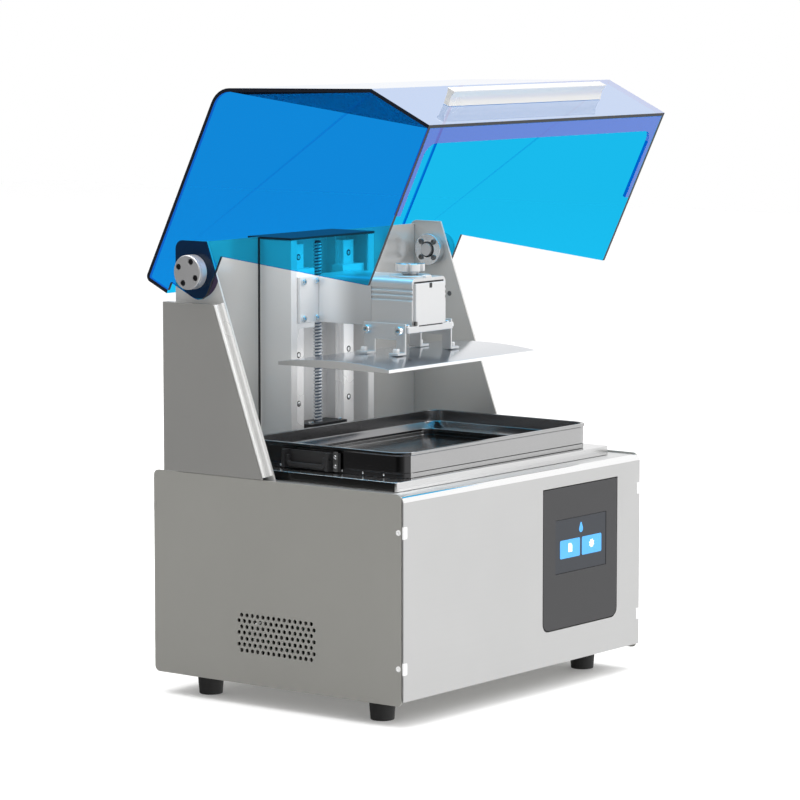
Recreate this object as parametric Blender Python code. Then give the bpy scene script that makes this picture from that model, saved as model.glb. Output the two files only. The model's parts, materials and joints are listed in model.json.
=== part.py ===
"""Resin printer: a sheet-metal base with a touch screen, two tower side plates, a lead-screw column that
carries the build platform, a resin vat over an LCD, and a bent acrylic hood hinged on the towers.

Sizes are in millimetres. x is across the machine from its middle, y runs back from the front face of the
base, and z is up from the floor. MM turns them to metres, and ORIGIN_Y moves the origin to the middle."""

import math

import bmesh
import bpy
from mathutils import Vector

MM = 0.001
GAP = 0.3  # kept between faces that meet

# The base cabinet.
WIDTH = 360.0
HALF = WIDTH / 2
DEPTH = 282.0
SHEET = 1.5
FOOT_HEIGHT = 23.6
SKIRT_Z = 19.8
PAN_Z = 23.9
DECK_Z = 200.9
SIDE_TOP_Z = 202.5
DECK_BEND = 5.0
INNER = HALF - SHEET - GAP

# The build area, which the LCD, film, vat and platform share.
AREA_Y = 131.4
LCD_HALF = (110.9, 63.1)
TRAY = {"half": 161.3, "front": 21.5, "back": 213.5, "top": 209.4}
VAT = {"half": 142.0, "front": 28.5, "back": 211.0, "rim": 232.2, "corner": 17.0}

# The column and what slides on it.
COLUMN = {"half": 61.0, "front": 219.0, "wall": 250.0, "back": 269.0, "top": 402.9}
SCREW_Y = 237.0
SCREW_RADIUS = 4.0
RAIL_X = 36.8
RAIL_FRONT, RAIL_BACK = 230.0, 239.7
RAIL_Z = (214.0, 398.0)
CARRIAGE_Z = (327.2, 368.9)
PLATE_FRONT = 215.9
ARM_HALF = 25.2
ARM_Z = (327.0, 371.3)
CLAMP_FRONT, CLAMP_BACK = 109.0, 155.0
PLATFORM = {"half": 110.7, "front": 69.0, "back": 193.8, "bottom": 296.2, "edge": 3.0, "crown": 7.3}

# The towers. Their front edges slope back from foot to top.
PLATE_X = (170.4, 172.2)
PLATE_TOP_Z = 408.3
PLATE_BACK = 260.5
SKIN_TOP_Z = 353.4
SKIN_BACK = 269.0
SLOPE_FOOT = (155.6, 204.4)
SLOPE_TOP = (210.6, 353.1)
PLATE_AHEAD = 7.2  # how far the tower plate's edge stands before the skin's, along y

# The hood, given in its closed position and turned open about the hinge.
HINGE = (234.0, 381.4)
OPEN_ANGLE = 64.6
ACRYLIC = 3.0
HOOD_OUT = 178.0
HOOD = {"front": 0.5, "base": 204.9, "knee": 272.9, "brow": (76.0, 426.1), "crest": 428.9}
HOOD |= {"back": 266.4, "lip": 401.5}
DISC_OUT = 188.0
DISC_RADIUS = 15.4

ORIGIN_Y = 131.7  # from the front face to the middle of the open machine

# Colour, metallic and roughness of each finish.
FINISHES = {
    "satin_steel": ((0.62, 0.62, 0.61), 0.9, 0.42),
    "bright_steel": ((0.78, 0.78, 0.78), 1.0, 0.28),
    "bare_aluminium": ((0.86, 0.86, 0.87), 1.0, 0.3),
    "black_anodised": ((0.03, 0.03, 0.032), 0.6, 0.38),
    "screen_black": ((0.02, 0.02, 0.022), 0.0, 0.12),
    "bezel_grey": ((0.085, 0.085, 0.088), 0.0, 0.45),
    "black_plastic": ((0.025, 0.025, 0.025), 0.0, 0.5),
    "rubber": ((0.02, 0.02, 0.02), 0.0, 0.75),
    "blue_acrylic": ((0.02, 0.3, 0.85), 0.0, 0.05),
    "green_board": ((0.02, 0.16, 0.07), 0.0, 0.5),
    "brass": ((0.72, 0.52, 0.22), 1.0, 0.3),
    "white_cast": ((0.85, 0.85, 0.85), 0.3, 0.4),
}


def clear_scene():
    for obj in list(bpy.data.objects):
        bpy.data.objects.remove(obj)


def to_world(x, y, z):
    return Vector((x, y - ORIGIN_Y, z)) * MM


def material(name, finish):
    colour, metallic, roughness = FINISHES[finish]
    made = bpy.data.materials.new(name)
    made.use_nodes = True
    shader = made.node_tree.nodes["Principled BSDF"]
    shader.inputs["Base Color"].default_value = (*colour, 1.0)
    shader.inputs["Metallic"].default_value = metallic
    shader.inputs["Roughness"].default_value = roughness
    return made


def span(side, near, far):
    """Low and high x of something between two distances from the middle, on side -1 or 1."""
    return tuple(sorted((side * near, side * far)))


def arc(centre, radius, start, end, steps):
    """Points of an arc, with its angles in degrees."""
    turn = [math.radians(start + (end - start) * i / steps) for i in range(steps + 1)]
    return [(centre[0] + radius * math.cos(a), centre[1] + radius * math.sin(a)) for a in turn]


def rounded(low, high, radius, steps=5):
    """A rectangle's outline with round corners."""
    (u0, v0), (u1, v1) = low, high
    corners = (
        ((u1 - radius, v1 - radius), 0),
        ((u0 + radius, v1 - radius), 90),
        ((u0 + radius, v0 + radius), 180),
        ((u1 - radius, v0 + radius), 270),
    )
    return [p for centre, turn in corners for p in arc(centre, radius, turn, turn + 90, steps)]


class Shape:
    """A mesh put together from closed bodies that stay apart from each other."""

    def __init__(self):
        self.mesh = bmesh.new()

    def point(self, axis, u, v, along):
        """A point from its place in the plane across an axis, in x, y, z order, and along it."""
        return {"x": (along, u, v), "y": (u, along, v), "z": (u, v, along)}[axis]

    def loft(self, rings):
        """Joins rings of equal length, and closes the first and last."""
        loops = [[self.mesh.verts.new(p) for p in ring] for ring in rings]
        faces = [self.mesh.faces.new(loops[0]), self.mesh.faces.new(loops[-1])]
        for lower, upper in zip(loops, loops[1:]):
            for i, vert in enumerate(lower):
                after = (i + 1) % len(lower)
                faces.append(self.mesh.faces.new((vert, lower[after], upper[after], upper[i])))
        bmesh.ops.recalc_face_normals(self.mesh, faces=faces)
        return self

    def prism(self, axis, outline, low, high):
        return self.loft([[self.point(axis, u, v, at) for u, v in outline] for at in (low, high)])

    def box(self, x, y, z):
        return self.prism("z", [(x[0], y[0]), (x[1], y[0]), (x[1], y[1]), (x[0], y[1])], *z)

    def turned(self, axis, centre, profile, sides=16, phase=0.5):
        """A turned body from (radius, place along the axis) pairs."""
        rings = []
        for radius, at in profile:
            ring = []
            for i in range(sides):
                turn = math.tau * (i + phase) / sides
                u, v = centre[0] + radius * math.cos(turn), centre[1] + radius * math.sin(turn)
                ring.append(self.point(axis, u, v, at))
            rings.append(ring)
        return self.loft(rings)

    def rod(self, axis, centre, radius, low, high, sides=16):
        return self.turned(axis, centre, ((radius, low), (radius, high)), sides)

    def tube(self, axis, centre, profile, sides=20):
        """A turned body with a round hole right through it, from the closed outline of its section."""
        loops = []
        for radius, at in profile:
            loop = []
            for i in range(sides):
                turn = math.tau * (i + 0.5) / sides
                u, v = centre[0] + radius * math.cos(turn), centre[1] + radius * math.sin(turn)
                loop.append(self.mesh.verts.new(self.point(axis, u, v, at)))
            loops.append(loop)
        faces = []
        for one, two in zip(loops, loops[1:] + loops[:1]):
            for i, vert in enumerate(one):
                after = (i + 1) % sides
                faces.append(self.mesh.faces.new((vert, one[after], two[after], two[i])))
        bmesh.ops.recalc_face_normals(self.mesh, faces=faces)
        return self

    def data(self, name, pivot):
        """The mesh in metres, measured from its assembly's pivot."""
        for vert in self.mesh.verts:
            vert.co = to_world(*vert.co) - to_world(*pivot)
        made = bpy.data.meshes.new(name)
        self.mesh.to_mesh(made)
        self.mesh.free()
        made.shade_smooth()
        made.set_sharp_from_angle(angle=math.radians(35))
        return made


class Assembly:
    """Pieces that move as one, parented to an empty on the axis that they move about."""

    def __init__(self, name, pivot=(0.0, ORIGIN_Y, 0.0), tilt=0.0):
        self.pivot = pivot
        self.empty = bpy.data.objects.new(name, None)
        self.empty.empty_display_size = 0.03
        self.empty.location = to_world(*pivot)
        self.empty.rotation_euler = (math.radians(tilt), 0, 0)
        bpy.context.scene.collection.objects.link(self.empty)

    def object(self, name, shape):
        obj = bpy.data.objects.new(name, shape.data(name, self.pivot))
        obj.parent = self.empty
        bpy.context.scene.collection.objects.link(obj)
        return obj

    def helper(self, obj, shape, operation):
        tool = self.object(f"{obj.name}_{operation.lower()}", shape)
        tool.hide_render = True
        tool.display_type = "WIRE"
        made = obj.modifiers.new(operation.lower(), "BOOLEAN")
        made.operation = operation
        made.solver = "EXACT"
        made.object = tool

    def add(self, name, finish, shape, cutter=None, joined=None):
        """One piece, with what is joined to it and what is cut out of it."""
        obj = self.object(name, shape)
        obj.data.materials.append(material(name, finish))
        if joined is not None:
            self.helper(obj, joined, "UNION")
        if cutter is not None:
            self.helper(obj, cutter, "DIFFERENCE")
        return obj


SIDES = ((-1, "left"), (1, "right"))

# ---------------------------------------------------------------- base cabinet


def slope_y(z, ahead=0.0):
    """Where the towers' sloping front edge is at a height."""
    (y0, z0), (y1, z1) = SLOPE_FOOT, SLOPE_TOP
    return y0 + (y1 - y0) * (z - z0) / (z1 - z0) - ahead


FAN = {"x": 62.0, "z": 112.0, "y": (262.5, 277.5), "size": 80.0, "bore": 37.5}
INLET = {"x": -128.0, "z": 66.0, "half": 24.0}
USB = {"x": -40.0, "z": 39.0}


def add_base_pan(chassis):
    """The floor of the cabinet, bent up at the back into the rear wall."""
    t, back, top = SHEET, DEPTH - 1.0, DECK_Z - SHEET - GAP
    profile = [(SHEET + GAP, PAN_Z), (back, PAN_Z), (back, top), (back - t, top)]
    profile += [(back - t, PAN_Z + t), (SHEET + GAP, PAN_Z + t)]
    pan = Shape().prism("x", profile, -INNER, INNER)
    cutter = Shape()
    through = (back - t - 1, back + 1)
    for i in range(9):
        z = FAN["z"] + (i - 4) * 8.0
        half = math.sqrt(36.0**2 - (z - FAN["z"]) ** 2)
        cutter.box((FAN["x"] - half, FAN["x"] + half), through, (z - 2.2, z + 2.2))
    half = INLET["half"] - 3
    cutter.box((INLET["x"] - half, INLET["x"] + half), through, (INLET["z"] - half, INLET["z"] + half))
    cutter.box((USB["x"] - 7.6, USB["x"] + 7.6), through, (USB["z"] - 4.9, USB["z"] + 4.2))
    chassis.add("base_pan", "satin_steel", pan, cutter)


BEZEL_X = (26.0, 142.5)
BEZEL_Z = (55.4, 183.5)
BEZEL_CORNER = 8.5
BEZEL_DEEP = 3.0
DISPLAY_X = (45.0, 125.3)
DISPLAY_Z = (105.3, 154.4)


def bezel_outline(grow):
    """The bezel's outline, with round corners at the bottom only."""
    x0, x1 = BEZEL_X[0] - grow, BEZEL_X[1] + grow
    z0, z1 = BEZEL_Z[0] - grow, BEZEL_Z[1] + grow
    r = BEZEL_CORNER
    left = arc((x0 + r, z0 + r), r, 180, 270, 5)
    right = arc((x1 - r, z0 + r), r, 270, 360, 5)
    return [*left, *right, (x1, z1), (x0, z1)]


def add_front_cover(chassis):
    """The front face and the deck, bent from one sheet."""
    t, r = SHEET, DECK_BEND
    middle = (r, DECK_Z - r)
    outer = [(0, PAN_Z), *arc(middle, r, 180, 90, 5), (DEPTH - 3, DECK_Z)]
    inner = [(DEPTH - 3, DECK_Z - t), *arc(middle, r - t, 90, 180, 5), (t, PAN_Z)]
    sheet = Shape().prism("x", outer + inner, -HALF, HALF)
    cutter = Shape()
    for side, _ in SIDES:
        cutter.box(span(side, INNER, HALF + 1), (t + 0.2, DEPTH), (PAN_Z - 1, DECK_Z + 1))
    cutter.prism("y", bezel_outline(0.8), -2, t + 2)
    x, y = LCD_HALF[0] - 6, LCD_HALF[1] - 6
    cutter.box((-x, x), (AREA_Y - y, AREA_Y + y), (DECK_Z - 3, DECK_Z + 2))
    cutter.rod("z", (0, SCREW_Y), 12.5, DECK_Z - 3, DECK_Z + 2, 20)
    chassis.add("front_cover", "bright_steel", sheet, cutter)


GRILLE = {"y": 140.25, "z": 65.55, "pitch": 6.05, "row": 5.24, "radius": 2.05, "rows": 7, "across": 15}


def grille_holes(x):
    """Rows of holes, every other one with one hole fewer, set between those of its neighbours."""
    holes = Shape()
    for row in range(GRILLE["rows"]):
        count = GRILLE["across"] - (row + 1) % 2
        z = GRILLE["z"] + (row - (GRILLE["rows"] - 1) / 2) * GRILLE["row"]
        for i in range(count):
            y = GRILLE["y"] + (i - (count - 1) / 2) * GRILLE["pitch"]
            holes.rod("x", (y, z), GRILLE["radius"], *x, 6)
    return holes


def add_side_panels(chassis):
    outline = rounded((SHEET + 2 * GAP, SKIRT_Z), (DEPTH - 1, SIDE_TOP_Z), 5.0, 4)
    for side, name in SIDES:
        panel = Shape().prism("x", outline, *span(side, HALF - SHEET, HALF))
        holes = grille_holes(span(side, HALF - SHEET - 1, HALF + 1)) if side < 0 else None
        chassis.add(f"side_panel_{name}", "satin_steel", panel, holes)


def add_feet(chassis):
    for y, place in ((44.3, "front"), (239.1, "rear")):
        for side, name in SIDES:
            profile = ((10.5, 0.0), (12.3, FOOT_HEIGHT - 1.5), (11.4, FOOT_HEIGHT))
            foot = Shape().turned("z", (side * 152.0, y), profile, 20)
            chassis.add(f"foot_{place}_{name}", "rubber", foot)


def add_screen(chassis):
    bezel = Shape().prism("y", bezel_outline(0), 0.0, BEZEL_DEEP)
    window = Shape().box(DISPLAY_X, (-1, BEZEL_DEEP + 1), DISPLAY_Z)
    chassis.add("screen_bezel", "bezel_grey", bezel, window)
    behind = BEZEL_DEEP + GAP
    rings = []
    for grow, y in ((-GAP, 0.4), (-GAP, behind), (5.0, behind), (5.0, behind + 6.0)):
        x0, x1 = DISPLAY_X[0] - grow, DISPLAY_X[1] + grow
        z0, z1 = DISPLAY_Z[0] - grow, DISPLAY_Z[1] + grow
        rings.append([(x0, y, z0), (x1, y, z0), (x1, y, z1), (x0, y, z1)])
    chassis.add("touch_screen", "screen_black", Shape().loft(rings))


# ---------------------------------------------------------------- light engine and electronics


def add_light_engine(chassis):
    """The lamp housing under the LCD, open at the top, with its heat sink's fins below."""
    top, floor, tips = DECK_Z - SHEET - GAP, 126.0, 97.0
    half, deep = LCD_HALF[0] - 4, LCD_HALF[1] - 4
    y = (AREA_Y - deep, AREA_Y + deep)
    fins, thick = 12, 2.4
    pitch = (2 * half - thick) / (fins - 1)
    section = [(-half, top)]
    for i in range(fins):
        x = -half + i * pitch
        section += [(x, floor), (x, tips), (x + thick, tips), (x + thick, floor)]
    section = [section[0], *section[2:-1], (half, top)]
    housing = Shape().prism("y", section, *y)
    hollow = Shape().box((-half + 2, half - 2), (y[0] + 2, y[1] - 2), (floor + 4, top + 2))
    chassis.add("light_engine", "bare_aluminium", housing, hollow)


def add_lcd(chassis):
    x, y = LCD_HALF
    panel = Shape().box((-x, x), (AREA_Y - y, AREA_Y + y), (DECK_Z + GAP, TRAY["top"] - GAP))
    chassis.add("lcd_panel", "screen_black", panel)


def add_fan(chassis, rotor):
    x, z, half = FAN["x"], FAN["z"], FAN["size"] / 2
    front, back = FAN["y"]
    frame = Shape().prism("y", rounded((x - half, z - half), (x + half, z + half), 4, 3), front, back)
    bore = Shape().rod("y", (x, z), FAN["bore"], front - 1, back + 1, 28)
    bridge = Shape().rod("y", (x, z), 15.0, back - 2.4, back, 16)
    struts = Shape().box((x - half + 1, x + half - 1), (back - 2.2, back - 0.2), (z - 2, z + 2))
    obj = chassis.add("fan_frame", "black_plastic", frame, bore)
    chassis.helper(obj, struts, "UNION")
    chassis.helper(obj, bridge, "UNION")
    blades, outline = 7, []
    for i in range(blades):
        at = 360 * i / blades
        outline += arc((x, z), 16.0, at, at + 18, 2)
        outline += arc((x, z), FAN["bore"] - 1.5, at + 34, at + 50, 2)
    rotor.add("fan_rotor", "black_plastic", Shape().prism("y", outline, front + 2, back - 2.4 - GAP))


def add_electronics(chassis):
    floor = PAN_Z + SHEET
    low, high = floor + 8, floor + 9.6
    board = Shape().box((-95.0, 25.0), (186.0, 272.0), (low, high))
    parts = Shape()
    for x in (-89.0, 19.0):
        for y in (192.0, 266.0):
            parts.rod("z", (x, y), 3.0, floor + GAP, low + 0.8, 8)
    chips = ((-66, 215, 16, 3), (-40, 215, 16, 3), (-12, 215, 14, 2), (-5, 248, 12, 8), (-72, 246, 18, 9))
    for x, y, wide, tall in chips:
        parts.box((x - wide / 2, x + wide / 2), (y - wide / 2, y + wide / 2), (high - 0.5, high + tall))
    socket_z = (high - 0.5, USB["z"] + 3.6)
    parts.box((USB["x"] - 7, USB["x"] + 7), (264.0, DEPTH - 1.4), socket_z)
    chassis.add("mainboard", "green_board", board, joined=parts)
    supply = Shape().box((60.0, 165.0), (60.0, 220.0), (floor + GAP, floor + 40))
    chassis.add("power_supply", "satin_steel", supply)


SWITCH_Z = INLET["z"] + 11.5
SOCKET_DEEP = 19.0


def add_power_inlet(chassis, rocker):
    """A mains socket with its rocker switch above it, let into the rear wall."""
    x, z = INLET["x"], INLET["z"]
    wall = DEPTH - 1.0 + GAP
    flange, neck = INLET["half"], INLET["half"] - 3 - GAP
    rings = []
    for half, y in ((neck, 250.0), (neck, wall), (flange, wall), (flange, wall + 2.2)):
        corners = ((-half, -half), (half, -half), (half, half), (-half, half))
        rings.append([(x + dx, y, z + dz) for dx, dz in corners])
    body = Shape().loft(rings)
    hollow = Shape()
    corner = 5.0
    socket = [(x - 13, z - 19), (x + 13, z - 19), (x + 13, z - 3 - corner), (x + 13 - corner, z - 3)]
    socket += [(x - 13 + corner, z - 3), (x - 13, z - 3 - corner)]
    hollow.prism("y", socket, wall + 2.2 - SOCKET_DEEP, wall + 4)
    hollow.box((x - 11, x + 11), (266.0, wall + 4), (SWITCH_Z - 7.8, SWITCH_Z + 7.8))
    pins = Shape()
    for dx, dz in ((-7, -13.5), (7, -13.5), (0, -9.0)):
        low, high = (x + dx - 1, x + dx + 1), (z + dz - 2.2, z + dz + 2.2)
        pins.box(low, (wall - SOCKET_DEEP, wall - 3), high)
    obj = chassis.add("power_inlet", "black_plastic", body, hollow)
    chassis.helper(obj, pins, "UNION")
    back = wall + 3.4
    outline = [(271.0, SWITCH_Z - 3), (271.0, SWITCH_Z + 3), (back - 2.4, SWITCH_Z + 6.2)]
    outline += [(back - 1.4, SWITCH_Z), (back, SWITCH_Z - 6.2)]
    rocker.add("power_switch", "black_plastic", Shape().prism("x", outline, x - 10.6, x + 10.6))


# ---------------------------------------------------------------- column, screw and carriage


def add_motor(chassis, screw):
    top = DECK_Z - SHEET - GAP
    outline = rounded((-21.1, SCREW_Y - 21.1), (21.1, SCREW_Y + 21.1), 4, 2)
    motor = Shape().prism("z", outline, top - 40, top)
    bore = Shape().rod("z", (0, SCREW_Y), 5.0, top - 12, top + 2, 16)
    chassis.add("stepper_motor", "black_anodised", motor, bore)
    shaft, coupling, foot = 2.5, 8.0, 213.0
    profile = ((shaft, top - 10), (shaft, top + 2), (coupling, top + 2), (coupling, foot))
    profile += ((SCREW_RADIUS, foot), (SCREW_RADIUS, 397.5), (3.0, 399.0))
    screw.add("lead_screw", "bright_steel", Shape().turned("z", (0, SCREW_Y), profile, 16))


def add_column(chassis):
    """An extruded channel, open at the front, with a seat for each rail and a hollow back."""
    half, front, back, top = (COLUMN[k] for k in ("half", "front", "back", "top"))
    foot, lip, t, wall = DECK_Z + GAP, 8.5, 1.8, COLUMN["wall"]
    right = [(half - lip, front), (half, front), (half, back)]
    seat_in, seat_out = RAIL_X - 7.5, RAIL_X + 7.5
    inside = [(half - lip, front + t), (half - t, front + t), (half - t, wall), (seat_out, wall)]
    inside += [(seat_out, RAIL_BACK + GAP), (seat_in, RAIL_BACK + GAP), (seat_in, wall)]
    outline = right + [(-x, y) for x, y in reversed(right)] + [(-x, y) for x, y in inside] + inside[::-1]
    housing = Shape().prism("z", outline, foot, top)
    hollow = Shape().box((-half + t, half - t), (wall + t, back - t), (foot - 1, top + 1))
    chassis.add("column_housing", "satin_steel", housing, hollow)
    cap = Shape().box((-half - 0.5, half + 0.5), (front - 0.5, back + 0.5), (top + GAP, top + GAP + 2.0))
    chassis.add("column_cap", "black_anodised", cap)
    bearing = Shape().box((-27.0, 27.0), (224.0, wall - 0.5), (211.2, 232.0))
    room = SCREW_RADIUS + 0.4
    bore = Shape().turned("z", (0, SCREW_Y), ((9.0, 205.0), (9.0, 214.5), (room, 214.5), (room, 240.0)), 16)
    chassis.add("lower_bearing", "black_anodised", bearing, bore)


def add_rails(chassis):
    depth = RAIL_BACK - RAIL_FRONT
    edge = [(7.5, 0), (7.5, 2.4), (6.3, 3.6), (6.3, 5.6), (7.5, 6.8), (7.5, depth)]
    for side, name in SIDES:
        middle = side * RAIL_X
        outline = [(middle + u, RAIL_FRONT + v) for u, v in edge]
        outline += [(middle - u, RAIL_FRONT + v) for u, v in reversed(edge)]
        rail = Shape().prism("z", outline, *RAIL_Z)
        chassis.add(f"rail_{name}", "bright_steel", rail)


def add_carriage(carriage):
    front, back, mouth = 224.0, 236.8, RAIL_FRONT - 0.6
    half = [(16, front), (16, back), (8, back), (8, mouth)]
    plan = half + [(-u, v) for u, v in reversed(half)]
    for side, name in SIDES:
        outline = [(side * RAIL_X + u, v) for u, v in plan]
        block = Shape().prism("z", outline, 321.4, 375.9)
        carriage.add(f"rail_block_{name}", "bright_steel", block)
    low, high = CARRIAGE_Z
    edge, shelf = COLUMN["half"] - 9.5, (350.5, 364.0)
    back = front - GAP
    section = [(PLATE_FRONT, low), (back, low), (back, shelf[0]), (249.0, shelf[0])]
    section += [(249.0, shelf[1]), (back, shelf[1]), (back, high), (PLATE_FRONT, high)]
    plate = Shape().prism("x", section, -edge, edge)
    cutter = Shape().rod("z", (0, SCREW_Y), 7.3, 340.0, 370.0, 16)
    for side, _ in SIDES:
        cutter.box(span(side, 19.5, edge + 1), (back, 260.0), (340.0, 370.0))
    carriage.add("carriage_plate", "bare_aluminium", plate, cutter)
    bore = SCREW_RADIUS + 0.4
    top, rim = shelf[1] + GAP, shelf[1] + 4.0
    section = [(bore, 346.0), (7.0, 346.0), (7.0, top), (11.5, top), (11.5, rim), (bore, rim)]
    carriage.add("lead_nut", "brass", Shape().tube("z", (0, SCREW_Y), section, 16))


def add_arm(carriage):
    low, high = ARM_Z
    outline = [(-ARM_HALF, low), (ARM_HALF, low), *arc((ARM_HALF - 5, high - 5), 5, 0, 90, 4)]
    outline += arc((-ARM_HALF + 5, high - 5), 5, 90, 180, 4)
    beam = Shape().prism("y", outline, CLAMP_BACK + GAP, PLATE_FRONT - GAP)
    hollow = Shape().box((-21, 21), (CLAMP_BACK - 2, PLATE_FRONT - 8), (low - 2, high - 4))
    carriage.add("arm", "bare_aluminium", beam, hollow)


CLAMP_WALL = 3.2
CLAMP_LIP = 1.6
CLAMP_LOW = 329.3
GROOVES_Z = (352.6, 356.9, 361.3)
GROOVE_DEEP = 1.2


def add_clamp(carriage, knob):
    """An upside-down channel with ribbed sides and two lips that hold the platform's block."""
    high, low = ARM_Z[1], CLAMP_LOW
    right = [(ARM_HALF, low)]
    for z in GROOVES_Z:
        floor = ARM_HALF - GROOVE_DEEP
        right += [(ARM_HALF, z - 1.5), (floor, z - 0.5), (floor, z + 1.1), (ARM_HALF, z + 1.2)]
    right += arc((ARM_HALF - 5, high - 5), 5, 0, 90, 4)
    inside = ARM_HALF - CLAMP_WALL
    lip = inside - CLAMP_LIP
    shelf = [(inside, high - CLAMP_WALL), (inside, low + 3.0), (lip, low + 3.0), (lip, low)]
    outline = right + [(-x, z) for x, z in reversed(right)] + [(-x, z) for x, z in reversed(shelf)] + shelf
    channel = Shape().prism("y", outline, CLAMP_FRONT, CLAMP_BACK)
    hole = Shape().rod("z", (0, knob.pivot[1]), 3.4, high - 6, high + 2, 14)
    carriage.add("clamp_body", "bare_aluminium", channel, hole)


def add_knob(knob):
    """A six-lobed grip on a lobed neck, with its threaded stud."""
    y, lobes, around, base = knob.pivot[1], 6, 48, ARM_Z[1] + GAP

    def ring(radius, depth, z):
        points = []
        for i in range(around):
            turn = math.tau * i / around
            reach = radius - depth * (0.5 - 0.5 * math.cos(lobes * turn)) ** 2
            points.append((reach * math.cos(turn), y + reach * math.sin(turn), z))
        return points

    stud, foot, neck, grip = (3.0, 0), (5.0, 0), (8.0, 1.6), (13.2, 4.4)
    rings = [ring(*stud, 367.4), ring(*stud, base), ring(*foot, base), ring(*foot, base + 2.0)]
    rings += [ring(*neck, base + 2.0), ring(*neck, base + 4.6), ring(*grip, base + 4.6)]
    rings += [ring(*grip, base + 11.0), ring(grip[0] - 0.8, grip[1], base + 11.8)]
    knob.add("clamp_knob", "white_cast", Shape().loft(rings))


def add_platform(platform):
    inside = ARM_HALF - CLAMP_WALL - GAP
    neck = inside - CLAMP_LIP - 2 * GAP
    wide, low = 32.9, 322.7
    half = [(wide, low), (wide, CLAMP_LOW - 0.6), (neck, CLAMP_LOW - 0.6), (neck, CLAMP_LOW + 3.0 + GAP)]
    half += [(inside, CLAMP_LOW + 3.0 + GAP), (inside, 366.7)]
    outline = half + [(-x, z) for x, z in reversed(half)]
    block = Shape().prism("y", outline, 106.8, CLAMP_BACK - 0.2)
    platform.add("mount_block", "white_cast", block)
    foot = PLATFORM["bottom"] + PLATFORM["crown"] + GAP
    near, far, toe = wide + GAP, wide + 2.3, 46.0
    section = [(near, foot), (toe, foot), (toe, foot + 2), (far, foot + 2), (far, 331.4), (near, 331.4)]
    for side, name in SIDES:
        plate = Shape().prism("y", [(side * x, z) for x, z in section], 109.0, 156.0)
        window = Shape().box(span(side, 30, 50), (119.0, 143.5), (300.0, 316.9))
        platform.add(f"bracket_plate_{name}", "bare_aluminium", plate, window)
    front, back, low = PLATFORM["front"], PLATFORM["back"], PLATFORM["bottom"]
    rise, steps = PLATFORM["crown"] - PLATFORM["edge"], 14
    outline = [(front, low), (back, low)]
    for i in range(steps + 1):
        along = 1 - 2 * i / steps
        y = (front + back) / 2 + along * (back - front) / 2
        outline.append((y, low + PLATFORM["edge"] + rise * (1 - along**2)))
    plate = Shape().prism("x", outline, -PLATFORM["half"], PLATFORM["half"])
    platform.add("build_platform", "bare_aluminium", plate)


# ---------------------------------------------------------------- tray and vat


def add_tray(chassis):
    outline = rounded((-TRAY["half"], TRAY["front"]), (TRAY["half"], TRAY["back"]), 4.0, 4)
    plate = Shape().prism("z", outline, DECK_Z + GAP, TRAY["top"])
    x, y = LCD_HALF[0] + GAP, LCD_HALF[1] + GAP
    window = Shape().box((-x, x), (AREA_Y - y, AREA_Y + y), (DECK_Z - 1, TRAY["top"] + 1))
    chassis.add("vat_tray", "bright_steel", plate, window)


FRAME_TOP = 213.7
FILM_THICK = 0.6
WELL = {"half": 124.0, "front": 50.0, "back": 203.0, "corner": 12.0}


def vat_ring(inset, z):
    half, corner = VAT["half"] - inset, max(VAT["corner"] - inset, 1.0)
    outline = rounded((-half, VAT["front"] + inset), (half, VAT["back"] - inset), corner, 5)
    return [(x, y, z) for x, y in outline]


def well_ring(z):
    outline = rounded((-WELL["half"], WELL["front"]), (WELL["half"], WELL["back"]), WELL["corner"], 5)
    return [(x, y, z) for x, y in outline]


def add_vat(vat):
    """The vat's body, with a bevelled ledge inside, on the frame that holds the release film."""
    rim, foot = VAT["rim"], FRAME_TOP + GAP
    bead = [vat_ring(1.0, rim - 3.2), vat_ring(0.0, rim - 2.6), vat_ring(0.0, rim)]
    shell = Shape().loft([vat_ring(1.0, foot), *bead])
    ledge = [well_ring(foot - 2), well_ring(foot + 2), vat_ring(4.0, foot + 7.5)]
    hollow = Shape().loft([*ledge, vat_ring(3.4, rim + 2)])
    vat.add("vat", "black_anodised", shell, hollow)
    low = TRAY["top"] + GAP
    frame = Shape().loft([vat_ring(0.8, low), vat_ring(0.8, FRAME_TOP)])
    hole = Shape().loft([well_ring(low + FILM_THICK), well_ring(FRAME_TOP + 2)])
    vat.add("film_frame", "black_anodised", frame, hole)


GRIP = {"x": 147.0, "z": 221.0, "front": 106.5, "back": 158.0, "drop": 8.0, "bar": 3.2}


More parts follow.
